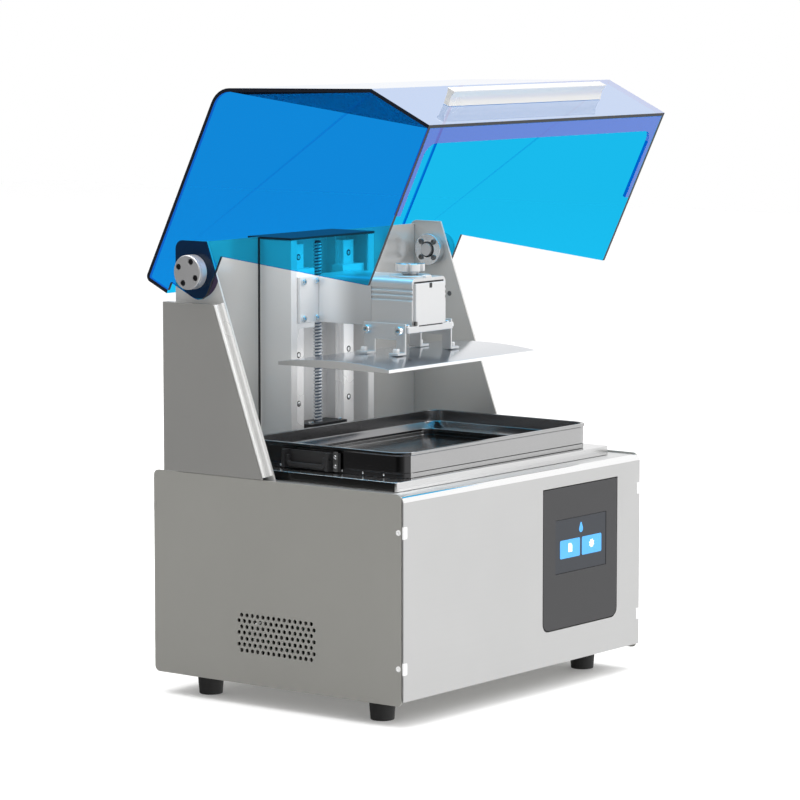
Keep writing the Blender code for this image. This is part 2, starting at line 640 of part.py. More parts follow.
def add_vat_handles(vat, handles):
    """On each side, a bail that hangs between the two cheeks of a bracket."""
    wall, t, deep = VAT["half"] + GAP, 1.5, 3.0
    reach = GRIP["x"] + 3.0
    front, back, z, bar = GRIP["front"], GRIP["back"], GRIP["z"], GRIP["bar"]
    plan = [(wall, front - 9), (wall, back + 5), (wall + t, back + 5), (wall + t, back), (reach, back)]
    plan += [(reach, back - deep), (wall + t, back - deep), (wall + t, front + deep), (reach, front + deep)]
    plan += [(reach, front), (wall + t, front), (wall + t, front - 9)]
    inner, outer = (front + deep + GAP, back - deep - GAP), (front + 0.8, back - 0.8)
    low, top = z - GRIP["drop"], z + bar / 2
    loop = [(inner[0], top), (inner[0], low + 3), (inner[0] + 3, low), (inner[1] - 3, low)]
    loop += [(inner[1], low + 3), (inner[1], top), (inner[1] - bar, top), (inner[1] - bar, low + bar + 1.5)]
    loop += [(inner[1] - bar - 1.5, low + bar), (inner[0] + bar + 1.5, low + bar)]
    loop += [(inner[0] + bar, low + bar + 1.5), (inner[0] + bar, top)]
    for side, name in SIDES:
        bracket = Shape().prism("z", [(side * x, y) for x, y in plan], 211.0, 227.0)
        centre = (side * GRIP["x"], z)
        bore = Shape().rod("y", centre, 1.6, front - 1, front + deep + 1, 10)
        bore.rod("y", centre, 1.6, back - deep - 1, back + 1, 10)
        vat.add(f"vat_handle_bracket_{name}", "black_plastic", bracket, bore)
        bail = Shape().prism("x", loop, *span(side, GRIP["x"] - 1.6, GRIP["x"] + 1.6))
        pins = Shape().rod("y", centre, 1.2, outer[0], inner[0] + 1, 10)
        pins.rod("y", centre, 1.2, inner[1] - 1, outer[1], 10)
        handles[name].add(f"vat_handle_{name}", "black_plastic", bail, joined=pins)


# ---------------------------------------------------------------- towers


def add_tower_plates(chassis):
    foot, r = DECK_Z + GAP, 8.0
    outline = [(slope_y(foot, PLATE_AHEAD), foot), (PLATE_BACK, foot)]
    outline += arc((PLATE_BACK - r, PLATE_TOP_Z - r), r, 0, 90, 5)
    outline += [(slope_y(PLATE_TOP_Z, PLATE_AHEAD), PLATE_TOP_Z)]
    for side, name in SIDES:
        plate = Shape().prism("x", outline, *span(side, *PLATE_X))
        holes = Shape().rod("x", HINGE, 7.0, *span(side, 160, 176), 20)
        holes.rod("x", (213.0, 339.9), 2.5, *span(side, 160, 176), 10)
        chassis.add(f"tower_plate_{name}", "bright_steel", plate, holes)


def add_tower_skins(chassis):
    """The outer skins, each bent over at the top to meet its tower plate."""
    foot, top = SIDE_TOP_Z + GAP, SKIN_TOP_Z
    outline = [(slope_y(foot), foot), (SKIN_BACK, foot), (SKIN_BACK, top), (slope_y(top), top)]
    cap_y = (slope_y(top) + 1.0, SKIN_BACK)
    for side, name in SIDES:
        skin = Shape().prism("x", outline, *span(side, HALF - SHEET, HALF))
        cap = Shape().box(span(side, PLATE_X[1] + GAP, HALF - 0.5), cap_y, (top - SHEET, top))
        chassis.add(f"tower_skin_{name}", "satin_steel", skin, joined=cap)


CHANNEL = [(172.5, GAP), (179.9, GAP), (179.9, 0.9), (178.6, 2.0), (174.4, 2.0), (174.4, 5.0), (172.5, 6.6)]


def add_hood_channels(chassis):
    """Bevelled strips up the towers' sloping edges, with the groove that the closed hood's edge enters."""
    (y0, z0), (y1, z1) = SLOPE_FOOT, SLOPE_TOP
    length = math.hypot(y1 - y0, z1 - z0)
    along = ((y1 - y0) / length, (z1 - z0) / length)
    ahead = (-along[1], along[0])
    for side, name in SIDES:
        rings = []
        for run in (0.0, length):
            y, z = y0 + along[0] * run, z0 + along[1] * run
            rings.append([(side * x, y + ahead[0] * d, z + ahead[1] * d) for x, d in CHANNEL])
        chassis.add(f"hood_channel_{name}", "bare_aluminium", Shape().loft(rings))


def add_back_walls(chassis):
    for side, name in SIDES:
        x = span(side, COLUMN["half"] + 1.6, PLATE_X[0] - GAP)
        wall = Shape().box(x, (254.5, 256.0), (DECK_Z + GAP, 405.0))
        chassis.add(f"back_wall_{name}", "satin_steel", wall)


# ---------------------------------------------------------------- hinges and hood


def add_hinges(chassis, hood):
    """A bearing hub inside each tower, and a disc outside it that turns with the hood on its shaft."""
    shaft, bore, spacer = 6.0, 6.5, HOOD_OUT + GAP
    disc = (184.9, 185.4)
    for side, name in SIDES:
        low, high = side * 163.2, side * (PLATE_X[0] - GAP)
        hub = Shape().tube("x", HINGE, [(bore, low), (15.0, low), (15.0, high), (bore, high)], 28)
        chassis.add(f"hinge_hub_{name}", "bright_steel", hub)
        profile = [(shaft, 160.5), (shaft, spacer), (DISC_RADIUS, spacer), (DISC_RADIUS, disc[0])]
        profile += [(DISC_RADIUS - 0.5, disc[0]), (DISC_RADIUS - 0.5, disc[1]), (DISC_RADIUS, disc[1])]
        profile += [(DISC_RADIUS, DISC_OUT - 0.8), (DISC_RADIUS - 0.8, DISC_OUT)]
        pin = Shape().turned("x", HINGE, [(radius, side * x) for radius, x in profile], 28)
        pockets = Shape()
        for i in range(4):
            turn = math.radians(90 * i)
            centre = (HINGE[0] + 10.6 * math.cos(turn), HINGE[1] + 10.6 * math.sin(turn))
            pockets.rod("x", centre, 2.9, *span(side, 186.2, DISC_OUT + 1), 12)
        hood.add(f"hinge_disc_{name}", "bare_aluminium", pin, pockets)


def hood_profile(inset, steps=6):
    """The bent sheet's line from the front's lower edge over the top to the rear lip, at some depth."""
    brow_y, brow_z = HOOD["brow"]
    corners = [
        (HOOD["front"], HOOD["knee"], 1.5),
        (brow_y, brow_z, 23.0),
        (HOOD["back"], HOOD["crest"], 5.0),
    ]
    line = [Vector((HOOD["front"], HOOD["base"])), *(Vector(c[:2]) for c in corners)]
    line.append(Vector((HOOD["back"], HOOD["lip"])))

    def inward(a, b):
        along = (b - a).normalized()
        return Vector((along.y, -along.x))

    points = [line[0] + inward(line[0], line[1]) * inset]
    for i, (_, _, radius) in enumerate(corners, 1):
        before, at, after = line[i - 1 : i + 2]
        n0, n1 = inward(before, at), inward(at, after)
        half = n0.angle(n1) / 2
        middle = at + (n0 + n1).normalized() * (radius / math.cos(half))
        start = math.degrees(math.atan2(-n0.y, -n0.x))
        end = start - math.degrees(2 * half)
        points += [Vector(p) for p in arc(middle, radius - inset, start, end, steps)]
    points.append(line[-1] + inward(line[-2], line[-1]) * inset)
    return [tuple(p) for p in points]


def add_hood(hood):
    edge = hood_profile(ACRYLIC + 0.15)
    ear = [(255.3, HOOD["lip"]), (255.3, 372.5), *arc((243.8, 371.7), 11.5, 0, -90, 4)]
    outline = [*edge, *ear, (207.5, 360.2), (152.8, HOOD["base"])]
    for side, name in SIDES:
        panel = Shape().prism("x", outline, *span(side, HOOD_OUT - ACRYLIC, HOOD_OUT))
        hole = Shape().rod("x", HINGE, 6.4, *span(side, HOOD_OUT - 5, HOOD_OUT + 2), 20)
        hood.add(f"hood_side_{name}", "blue_acrylic", panel, hole)
    sheet = Shape().prism("x", hood_profile(0) + hood_profile(ACRYLIC)[::-1], -HOOD_OUT, HOOD_OUT)
    room = Shape().box((-66.0, 66.0), (HOOD["back"] - 8, HOOD["back"] + 5), (390.0, 420.0))
    hood.add("hood_shell", "blue_acrylic", sheet, room)
    front, wide, reach, corner = HOOD["front"] + ACRYLIC + GAP, 14.5, 83.0, 11.0
    outer, inner = HOOD_OUT - ACRYLIC - GAP, 169.5
    run, edge = front + reach, front + wide
    outline = [(-outer, run), (-outer, front), (outer, front), (outer, run), (inner, run)]
    outline += arc((inner - corner, edge + corner), corner, 0, -90, 4)
    outline += arc((-inner + corner, edge + corner), corner, -90, -180, 4)
    outline += [(-inner, run)]
    frame = Shape().prism("z", outline, HOOD["base"], HOOD["base"] + ACRYLIC)
    hood.add("hood_frame", "blue_acrylic", frame)


def add_hood_handle(hood):
    """A pull bar with a hooked edge, given by its drop below the knee and its reach from the front."""
    top, face = HOOD["knee"], HOOD["front"] - GAP
    section = [(31.6, 0), (37.6, 0), (36.4, 4.0), (36.2, 9.0), (37.2, 11.0), (38.0, 14.4)]
    section += [(29.6, 14.4), (31.0, 10.2), (31.4, 4.0)]
    outline = [(face - out, top - down) for down, out in section]
    hood.add("hood_handle", "bare_aluminium", Shape().prism("x", outline, -114.4, 114.4))


def build():
    clear_scene()
    chassis = Assembly("chassis_origin")
    hood = Assembly("hood_pivot", (0.0, *HINGE), -OPEN_ANGLE)
    screw = Assembly("screw_axis", (0.0, SCREW_Y, 213.0))
    carriage = Assembly("carriage_origin", (0.0, PLATE_FRONT, CARRIAGE_Z[0]))
    knob = Assembly("knob_axis", (0.0, 130.0, ARM_Z[1]))
    platform = Assembly("platform_origin", (0.0, AREA_Y, PLATFORM["bottom"]))
    vat = Assembly("vat_origin", (0.0, AREA_Y, TRAY["top"]))
    rotor = Assembly("fan_axis", (FAN["x"], FAN["y"][0], FAN["z"]))
    rocker = Assembly("rocker_axis", (INLET["x"], 276.0, SWITCH_Z))
    handles = {}
    for side, name in SIDES:
        handles[name] = Assembly(f"bail_axis_{name}", (side * GRIP["x"], GRIP["front"], GRIP["z"]))
    add_base_pan(chassis)
    add_front_cover(chassis)
    add_side_panels(chassis)
    add_feet(chassis)
    add_screen(chassis)
    add_light_engine(chassis)
    add_lcd(chassis)
    add_fan(chassis, rotor)
    add_electronics(chassis)
    add_power_inlet(chassis, rocker)
    add_motor(chassis, screw)
    add_column(chassis)
    add_rails(chassis)
    add_carriage(carriage)
    add_arm(carriage)
    add_clamp(carriage, knob)
    add_knob(knob)
    add_platform(platform)
    add_tray(chassis)
    add_vat(vat)
    add_vat_handles(vat, handles)
    add_tower_plates(chassis)
    add_tower_skins(chassis)
    add_hood_channels(chassis)
    add_back_walls(chassis)
    add_hinges(chassis, hood)
    add_hood(hood)
    add_hood_handle(hood)


build()
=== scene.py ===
"""The looks of the resin printer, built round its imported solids.

Most visible solids are copied with small bevels on their edges and get a procedural finish. Screws, the lead
screw's thread, the screen's picture and other small pieces are added, and then the studio."""

import json
import math

import bmesh
import bpy
from mathutils import Matrix, Vector

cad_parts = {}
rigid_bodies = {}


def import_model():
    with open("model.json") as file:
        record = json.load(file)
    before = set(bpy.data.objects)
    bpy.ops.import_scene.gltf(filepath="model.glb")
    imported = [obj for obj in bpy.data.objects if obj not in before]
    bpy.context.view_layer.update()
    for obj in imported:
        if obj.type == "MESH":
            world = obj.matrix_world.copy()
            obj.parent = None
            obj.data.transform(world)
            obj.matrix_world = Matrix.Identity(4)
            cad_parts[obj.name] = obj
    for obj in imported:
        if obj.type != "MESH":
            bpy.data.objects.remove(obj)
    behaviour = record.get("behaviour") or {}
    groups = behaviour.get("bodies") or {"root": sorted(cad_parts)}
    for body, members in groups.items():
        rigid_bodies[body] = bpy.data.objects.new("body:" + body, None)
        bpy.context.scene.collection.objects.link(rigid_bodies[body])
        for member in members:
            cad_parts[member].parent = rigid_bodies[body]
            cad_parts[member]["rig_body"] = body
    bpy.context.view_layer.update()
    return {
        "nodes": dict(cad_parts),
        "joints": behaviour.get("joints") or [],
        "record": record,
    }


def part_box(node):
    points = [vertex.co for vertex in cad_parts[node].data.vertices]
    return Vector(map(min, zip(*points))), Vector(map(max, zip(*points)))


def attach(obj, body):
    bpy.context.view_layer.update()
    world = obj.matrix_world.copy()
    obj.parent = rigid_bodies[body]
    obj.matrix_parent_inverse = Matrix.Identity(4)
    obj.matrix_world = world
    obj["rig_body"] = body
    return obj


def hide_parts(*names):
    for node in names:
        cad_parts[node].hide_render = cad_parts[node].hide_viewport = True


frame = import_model()

MM = 0.001
SIDES = ((-1, "left"), (1, "right"))
OPEN_ANGLE = math.radians(64.6)  # the hood's rest pose, from closed
HINGE = next(Vector(j["pos_m"]) for j in frame["joints"] if j["name"] == "cover_hinge")
SCREW_PITCH = 3.0 * MM
ORIGIN_Y = 131.7  # mm from the cabinet's front face to the frame's origin
HOOD_HALF = 178.0 * MM  # half the hood's width
# the closed hood's corners from its front to its back, in mm behind the cabinet's front and above the bench
HOOD_LINE = ((0.5, 204.9), (0.5, 272.9), (76.0, 426.1), (266.4, 428.9), (266.4, 401.5))
TAB_HEIGHTS = (169.9 * MM, 52.4 * MM)  # of the front's tabs and rivets
SHADE_REACH = 24 * MM  # of the hood's shade round the hinge
HOOD_BLUE = (0.01, 0.5, 0.85)
FLOOR_HALF = 6.0
SHARP = math.radians(32)  # edges sharper than this stay sharp


# ---------------------------------------------------------------- materials


class Finish:
    """A material with one Principled shader, which the methods give patterns in the object's own metres."""

    def __init__(self, name, colour, roughness, metallic=0.0, **more):
        self.material = bpy.data.materials.new(name)
        self.material.use_nodes = True
        self.tree = self.material.node_tree
        self.shader = self.tree.nodes["Principled BSDF"]
        self.colour = colour
        self.roughness = roughness
        self.set("Base Color", (*colour, 1.0))
        self.set("Roughness", roughness)
        self.set("Metallic", metallic)
        for socket, value in more.items():
            self.set(socket.replace("_", " "), value)

    def set(self, socket, value):
        self.shader.inputs[socket].default_value = value

    def node(self, kind, **settings):
        made = self.tree.nodes.new(kind)
        for key, value in settings.items():
            setattr(made, key, value)
        return made

    def link(self, source, target):
        self.tree.links.new(source, target)

    def noise(self, scale, detail=4.0, roughness=0.55):
        """Noise with so many features a metre along x, y and z."""
        place = self.node("ShaderNodeTexCoord")
        mapping = self.node("ShaderNodeMapping")
        mapping.inputs["Scale"].default_value = scale
        texture = self.node("ShaderNodeTexNoise")
        texture.inputs["Scale"].default_value = 1.0
        texture.inputs["Detail"].default_value = detail
        texture.inputs["Roughness"].default_value = roughness
        self.link(place.outputs["Object"], mapping.inputs["Vector"])
        self.link(mapping.outputs["Vector"], texture.inputs["Vector"])
        return texture.outputs["Fac"]

    def spread(self, fac, low, high):
        """The middle of a noise's range, stretched to run from low to high."""
        ramp = self.node("ShaderNodeMapRange")
        ramp.inputs["From Min"].default_value = 0.15
        ramp.inputs["From Max"].default_value = 0.85
        ramp.inputs["To Min"].default_value = low
        ramp.inputs["To Max"].default_value = high
        self.link(fac, ramp.inputs["Value"])
        return ramp.outputs["Result"]

    def tinted(self, fac, amount):
        """Lets the colour vary by a share of itself."""
        mix = self.node("ShaderNodeMix", data_type="RGBA")
        mix.inputs["A"].default_value = (*(c * (1 - amount) for c in self.colour), 1.0)
        mix.inputs["B"].default_value = (*(min(c * (1 + amount), 1.0) for c in self.colour), 1.0)
        self.link(self.spread(fac, 0.0, 1.0), mix.inputs["Factor"])
        self.link(mix.outputs["Result"], self.shader.inputs["Base Color"])
        return self

    def polished(self, fac, amount):
        low, high = self.roughness - amount, self.roughness + amount
        self.link(self.spread(fac, low, high), self.shader.inputs["Roughness"])
        return self

    def bumped(self, fac, height):
        bump = self.node("ShaderNodeBump")
        bump.inputs["Strength"].default_value = 1.0
        bump.inputs["Distance"].default_value = height
        self.link(fac, bump.inputs["Height"])
        self.link(bump.outputs["Normal"], self.shader.inputs["Normal"])
        return self


def brushed(name, colour, roughness, grain, depth=0.000006, tint=0.03, metallic=1.0):
    """Metal with brush lines along the axis whose grain is coarse."""
    finish = Finish(name, colour, roughness, metallic)
    lines = finish.noise(grain, 3.0, 0.6)
    clouds = finish.noise((9, 9, 9), 3.0)
    return finish.tinted(clouds, tint).polished(lines, 0.05).bumped(lines, depth).material


def cast(name, colour, roughness, metallic, scale, depth, tint=0.08, **more):
    """An even, finely textured surface: moulded, blasted, anodised or rubber."""
    finish = Finish(name, colour, roughness, metallic, **more)
    grain = finish.noise((scale, scale, scale), 3.0, 0.6)
    clouds = finish.noise((14, 14, 14), 3.0)
    return finish.tinted(clouds, tint).polished(clouds, 0.04).bumped(grain, depth).material


def acrylic(name, tint, low=0.03):
    """Clear sheet. A face tints what is seen through it and, from outside, mirrors more at a low angle."""
    made = bpy.data.materials.new(name)
    made.use_nodes = True
    tree = made.node_tree
    tree.nodes.clear()
    link = tree.links.new
    facing = tree.nodes.new("ShaderNodeLayerWeight")
    facing.inputs["Blend"].default_value = 0.5
    power = tree.nodes.new("ShaderNodeMath")
    power.operation = "POWER"
    power.inputs[1].default_value = 4.0
    share = tree.nodes.new("ShaderNodeMapRange")
    share.inputs["To Min"].default_value = low
    share.inputs["To Max"].default_value = 1.0
    through = tree.nodes.new("ShaderNodeBsdfTransparent")
    place = tree.nodes.new("ShaderNodeTexCoord")
    clouds = tree.nodes.new("ShaderNodeTexNoise")
    clouds.inputs["Scale"].default_value = 7.0
    shade = tree.nodes.new("ShaderNodeMix")
    shade.data_type = "RGBA"
    shade.inputs["A"].default_value = (*(c * 0.985 for c in tint), 1.0)
    shade.inputs["B"].default_value = (*tint, 1.0)
    mirror = tree.nodes.new("ShaderNodeBsdfGlossy")
    mirror.inputs["Color"].default_value = (1, 1, 1, 1)
    mirror.inputs["Roughness"].default_value = 0.02
    mix = tree.nodes.new("ShaderNodeMixShader")
    out = tree.nodes.new("ShaderNodeOutputMaterial")
    link(place.outputs["Object"], clouds.inputs["Vector"])
    link(clouds.outputs["Fac"], shade.inputs["Factor"])
    link(shade.outputs["Result"], through.inputs["Color"])
    link(facing.outputs["Facing"], power.inputs[0])
    link(power.outputs["Value"], share.inputs["Value"])
    side = tree.nodes.new("ShaderNodeNewGeometry")
    outside = tree.nodes.new("ShaderNodeMath")
    outside.operation = "SUBTRACT"
    outside.inputs[0].default_value = 1.0
    shine = tree.nodes.new("ShaderNodeMath")
    shine.operation = "MULTIPLY"
    link(side.outputs["Backfacing"], outside.inputs[1])
    link(share.outputs["Result"], shine.inputs[0])
    link(outside.outputs["Value"], shine.inputs[1])
    link(shine.outputs["Value"], mix.inputs["Fac"])
    link(through.outputs["BSDF"], mix.inputs[1])
    link(mirror.outputs["BSDF"], mix.inputs[2])
    link(mix.outputs["Shader"], out.inputs["Surface"])
    return made


def graded(name, dark, light, roughness, metallic, start, end):
    """Even metal with painted shade, which darkens it along y, from start to end."""
    finish = Finish(name, light, roughness, metallic)
    grain = finish.noise((1500, 1500, 1500), 3.0, 0.6)
    place = finish.node("ShaderNodeTexCoord")
    parts = finish.node("ShaderNodeSeparateXYZ")
    ramp = finish.node("ShaderNodeMapRange", interpolation_type="SMOOTHSTEP")
    ramp.inputs["From Min"].default_value = start
    ramp.inputs["From Max"].default_value = end
    mix = finish.node("ShaderNodeMix", data_type="RGBA")
    mix.inputs["A"].default_value = (*light, 1.0)
    mix.inputs["B"].default_value = (*dark, 1.0)
    finish.link(place.outputs["Object"], parts.inputs["Vector"])
    finish.link(parts.outputs["Y"], ramp.inputs["Value"])
    finish.link(ramp.outputs["Result"], mix.inputs["Factor"])
    finish.link(mix.outputs["Result"], finish.shader.inputs["Base Color"])
    return finish.bumped(grain, 0.000004).material


def shaded(name, colour, roughness, shade):
    """The towers' steel outside, with the deep shade that the hood's sheet lays on it round the hinge."""
    finish = Finish(name, colour, roughness, 0.6)
    finish.tinted(finish.noise((9, 9, 9), 3.0), 0.03)
    steel = finish.shader.inputs["Base Color"].links[0].from_socket
    place = finish.node("ShaderNodeTexCoord")
    flat = finish.node("ShaderNodeVectorMath", operation="MULTIPLY")
    flat.inputs[1].default_value = (0, 1, 1)
    reach = finish.node("ShaderNodeVectorMath", operation="DISTANCE")
    reach.inputs[1].default_value = (0, HINGE.y, HINGE.z)
    near = finish.node("ShaderNodeMath", operation="LESS_THAN")
    near.inputs[1].default_value = SHADE_REACH
    parts = finish.node("ShaderNodeSeparateXYZ")
    above = finish.node("ShaderNodeMath", operation="GREATER_THAN")
    above.inputs[1].default_value = HINGE.z
    either = finish.node("ShaderNodeMath", operation="MAXIMUM")
    mix = finish.node("ShaderNodeMix", data_type="RGBA")
    mix.inputs["B"].default_value = (*shade, 1.0)
    finish.link(place.outputs["Object"], flat.inputs[0])
    finish.link(flat.outputs["Vector"], reach.inputs[0])
    finish.link(reach.outputs["Value"], near.inputs[0])
    finish.link(place.outputs["Object"], parts.inputs["Vector"])
    finish.link(parts.outputs["Z"], above.inputs[0])
    finish.link(near.outputs["Value"], either.inputs[0])
    finish.link(above.outputs["Value"], either.inputs[1])
    finish.link(either.outputs["Value"], mix.inputs["Factor"])
    finish.link(steel, mix.inputs["A"])
    finish.link(mix.outputs["Result"], finish.shader.inputs["Base Color"])
    return finish.material


def edge_black():
    """Black where a face looks outwards, and clear blue from behind, so that far edges don't show."""
    finish = Finish("black_edge", (0.004, 0.006, 0.012), 0.15)
    finish.tinted(finish.noise((90, 90, 90)), 0.2)
    behind = finish.node("ShaderNodeNewGeometry")
    clear = finish.node("ShaderNodeBsdfTransparent")
    clear.inputs["Color"].default_value = (*HOOD_BLUE, 1.0)
    mix = finish.node("ShaderNodeMixShader")
    finish.link(behind.outputs["Backfacing"], mix.inputs["Fac"])
    finish.link(finish.shader.outputs["BSDF"], mix.inputs[1])
    finish.link(clear.outputs["BSDF"], mix.inputs[2])
    finish.link(mix.outputs["Shader"], finish.tree.nodes["Material Output"].inputs["Surface"])
    return finish.material


SIDE_STEEL = brushed("side_steel", (0.385, 0.38, 0.355), 0.42, (500, 60, 14), metallic=0.5)
SKIN_STEEL = brushed("skin_steel", (0.32, 0.317, 0.305), 0.42, (500, 60, 14), metallic=0.5)
FRONT_STEEL = brushed("front_steel", (0.61, 0.61, 0.607), 0.36, (10, 300, 500), metallic=0.9)
TRAY_STEEL = brushed("tray_steel", (0.74, 0.74, 0.74), 0.2, (10, 300, 300))
# painted shade: a near-black copy of the tray's steel for its left and right faces, darker than its front
TRAY_SIDE_SHADE = brushed("tray_side_painted_shade", (0.05, 0.05, 0.05), 0.2, (300, 10, 300))
PLATE_STEEL = cast("tower_plate_steel", (0.58, 0.575, 0.56), 0.34, 0.6, 900, 0.00001, 0.03)
WALL_STEEL = cast("back_wall_steel", (0.66, 0.655, 0.64), 0.2, 0.6, 900, 0.00001, 0.03)
COLUMN_ALUMINIUM = cast("column_aluminium", (0.78, 0.78, 0.775), 0.34, 0.35, 1500, 0.000003, 0.02)
CLEAR_ALUMINIUM = cast("clear_aluminium", (0.68, 0.68, 0.68), 0.3, 0.75, 1500, 0.000004, 0.02)
PLATE_OUTSIDE = shaded("plate_outside", (0.7, 0.7, 0.69), 0.36, (0.09, 0.055, 0.1))
# painted shade: the arm darkens towards its front end
arm_low, arm_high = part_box("arm")
ARM_SHADE_SPAN = (arm_high.y - 12 * MM, arm_low.y + 15 * MM)
ARM_SHADED_ALUMINIUM = graded("arm_painted_shade", (0.5,) * 3, (0.94,) * 3, 0.32, 0.5, *ARM_SHADE_SPAN)
PLATE_ALUMINIUM = cast("plate_aluminium", (0.84, 0.84, 0.84), 0.34, 0.3, 1500, 0.000005, 0.03)
BRIGHT_ALUMINIUM = cast("bright_aluminium", (0.72, 0.72, 0.71), 0.26, 0.6, 900, 0.000002, 0.02)
PLATFORM_ALUMINIUM = cast("platform_aluminium", (0.62, 0.64, 0.68), 0.17, 1.0, 1500, 0.000002, 0.02)
# painted shade: a darker copy of the platform's aluminium for its left and right edge faces
PLATFORM_SIDE_SHADED = cast("platform_side_painted_shade", (0.4, 0.4, 0.395), 0.35, 0.3, 1500, 0.000002, 0.02)
WHITE_METAL = cast("blasted_metal", (0.61, 0.61, 0.61), 0.4, 0.25, 1800, 0.00001, 0.03)
# painted light: the rails and their blocks glow a little to brighten them, though they are no lamp
PAINTED_RAIL_LIGHT = {"Emission_Color": (1, 1, 1, 1), "Emission_Strength": 0.13}
GLOWING_RAIL_STEEL = cast("rail_steel", (0.95, 0.95, 0.95), 0.26, 0.3, 1200, 0.000002, 0.02, **PAINTED_RAIL_LIGHT)
# painted light: the column's inner faces glow a little, standing in for light that reaches into the channel
PAINTED_COLUMN_LIGHT = {"Emission_Color": (1, 1, 1, 1), "Emission_Strength": 0.04}
GLOWING_COLUMN_INSIDE = cast("column_inside_painted_light", (0.8, 0.8, 0.8), 0.34, 0.35, 1500, 0.000003, 0.02, **PAINTED_COLUMN_LIGHT)
DISC_STEEL = cast("disc_steel", (0.55, 0.55, 0.555), 0.3, 0.7, 1200, 0.000002, 0.02)
# painted highlight: a brighter copy of the front's steel for the bend at the top of the front; its polish
# adds a real reflection
BEND_HIGHLIGHT = cast("bend_painted_highlight", (0.97, 0.97, 0.97), 0.1, 1.0, 900, 0.000001, 0.01)
HUB_STEEL = cast("hub_steel", (0.78, 0.79, 0.8), 0.16, 1.0, 1200, 0.000002, 0.03)
GRIP_TOP = cast("grip_top", (0.6, 0.62, 0.64), 0.08, 1.0, 900, 0.000001, 0.02)
THREAD_STEEL = cast("thread_steel", (0.88, 0.92, 0.97), 0.22, 0.5, 900, 0.0000005, 0.03)
# painted shade: a dark copy of the thread's steel for the faces deep in the thread's groove
THREAD_ROOT_SHADE = cast("thread_root_painted_shade", (0.1, 0.14, 0.2), 0.3, 0.5, 900, 0.0000005, 0.03)
DARK_STEEL = cast("dark_steel", (0.16, 0.16, 0.16), 0.35, 0.8, 1200, 0.000003)
DARK_METAL = cast("dark_metal", (0.04, 0.04, 0.043), 0.42, 0.6, 1500, 0.00001)
SCREW_STEEL = cast("screw_steel", (0.85, 0.86, 0.87), 0.14, 1.0, 900, 0.000002, 0.03)
BLACK_SCREW = cast("black_screw", (0.03, 0.03, 0.032), 0.3, 0.7, 900, 0.000005)
BRASS = cast("brass", (0.72, 0.5, 0.2), 0.28, 1.0, 700, 0.00001)
VAT_BLACK = cast("vat_black", (0.3, 0.3, 0.305), 0.16, 1.0, 1600, 0.000002, 0.04)
# painted light: a lighter copy of the vat's black for the faces at the vat's front
VAT_FRONT_LIT = cast("vat_front_painted_light", (0.46, 0.46, 0.46), 0.2, 0.9, 1600, 0.000002, 0.03)
# painted shade: a near-black copy of the vat's black for the outer faces along its left and right sides
VAT_SIDE_SHADED = cast("vat_side_painted_shade", (0.065, 0.065, 0.067), 0.16, 1.0, 1600, 0.000002, 0.04)
RUBBER = cast("foot_rubber", (0.018, 0.018, 0.018), 0.7, 0.0, 1400, 0.00004)
BEZEL = cast("bezel_plastic", (0.032, 0.032, 0.034), 0.42, 0.0, 2200, 0.00001)
BLACK_PLASTIC = cast("black_plastic", (0.02, 0.02, 0.021), 0.35, 0.0, 1600, 0.00001)
SCREEN_GLASS = cast("screen_glass", (0.02, 0.024, 0.032), 0.3, 0.0, 40, 0.0, 0.03)
LCD_GLASS = cast("lcd_glass", (0.03, 0.045, 0.07), 0.06, 0.0, 40, 0.0, 0.2)
BOARD = cast("solder_mask", (0.012, 0.12, 0.05), 0.4, 0.0, 600, 0.00003)
BLUE = acrylic("blue_acrylic", HOOD_BLUE)
PALE = acrylic("pale_acrylic", (0.12, 0.5, 0.9), 0.45)
DEEP_BLUE = acrylic("frame_acrylic", (0.12, 0.5, 0.88), 0.1)
BLACK_EDGE = edge_black()


# ---------------------------------------------------------------- meshes


def piece(name, mesh, body, slot, *materials, smooth=True):
    """A visible piece on a body, smooth up to its sharp edges or flat-faced."""
    obj = bpy.data.objects.new(name, mesh)
    bpy.context.scene.collection.objects.link(obj)
    for material in materials:
        mesh.materials.append(material)
    if smooth:
        mesh.shade_smooth()
        mesh.set_sharp_from_angle(angle=SHARP)
    else:
        mesh.shade_flat()
    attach(obj, body)
    return obj


def bevelled(obj, width, segments=2):
    bevel = obj.modifiers.new("edges", "BEVEL")
    bevel.width = width
    bevel.segments = segments
    bevel.limit_method = "ANGLE"
    bevel.angle_limit = SHARP
    bevel.harden_normals = True
    bevel.use_clamp_overlap = True
    return obj


def whole(node, joined=True):
    """A node's mesh, with its flat faces whole again if joined."""
    work = bmesh.new()
    work.from_mesh(frame["nodes"][node].data)
    bmesh.ops.remove_doubles(work, verts=work.verts, dist=1e-6)
    if not joined:
        return work
    bmesh.ops.dissolve_limit(work, angle_limit=math.radians(0.5), verts=work.verts, edges=work.edges)
    for vert in [v for v in work.verts if len(v.link_edges) == 2]:
        bmesh.ops.dissolve_verts(work, verts=[vert])
    bmesh.ops.recalc_face_normals(work, faces=work.faces)
    return work


def slot_of(node):
    return next(s["material_slot"] for s in frame["record"]["subparts"] if s["node"] == node)


def body_of(node):
    return frame["nodes"][node]["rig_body"]


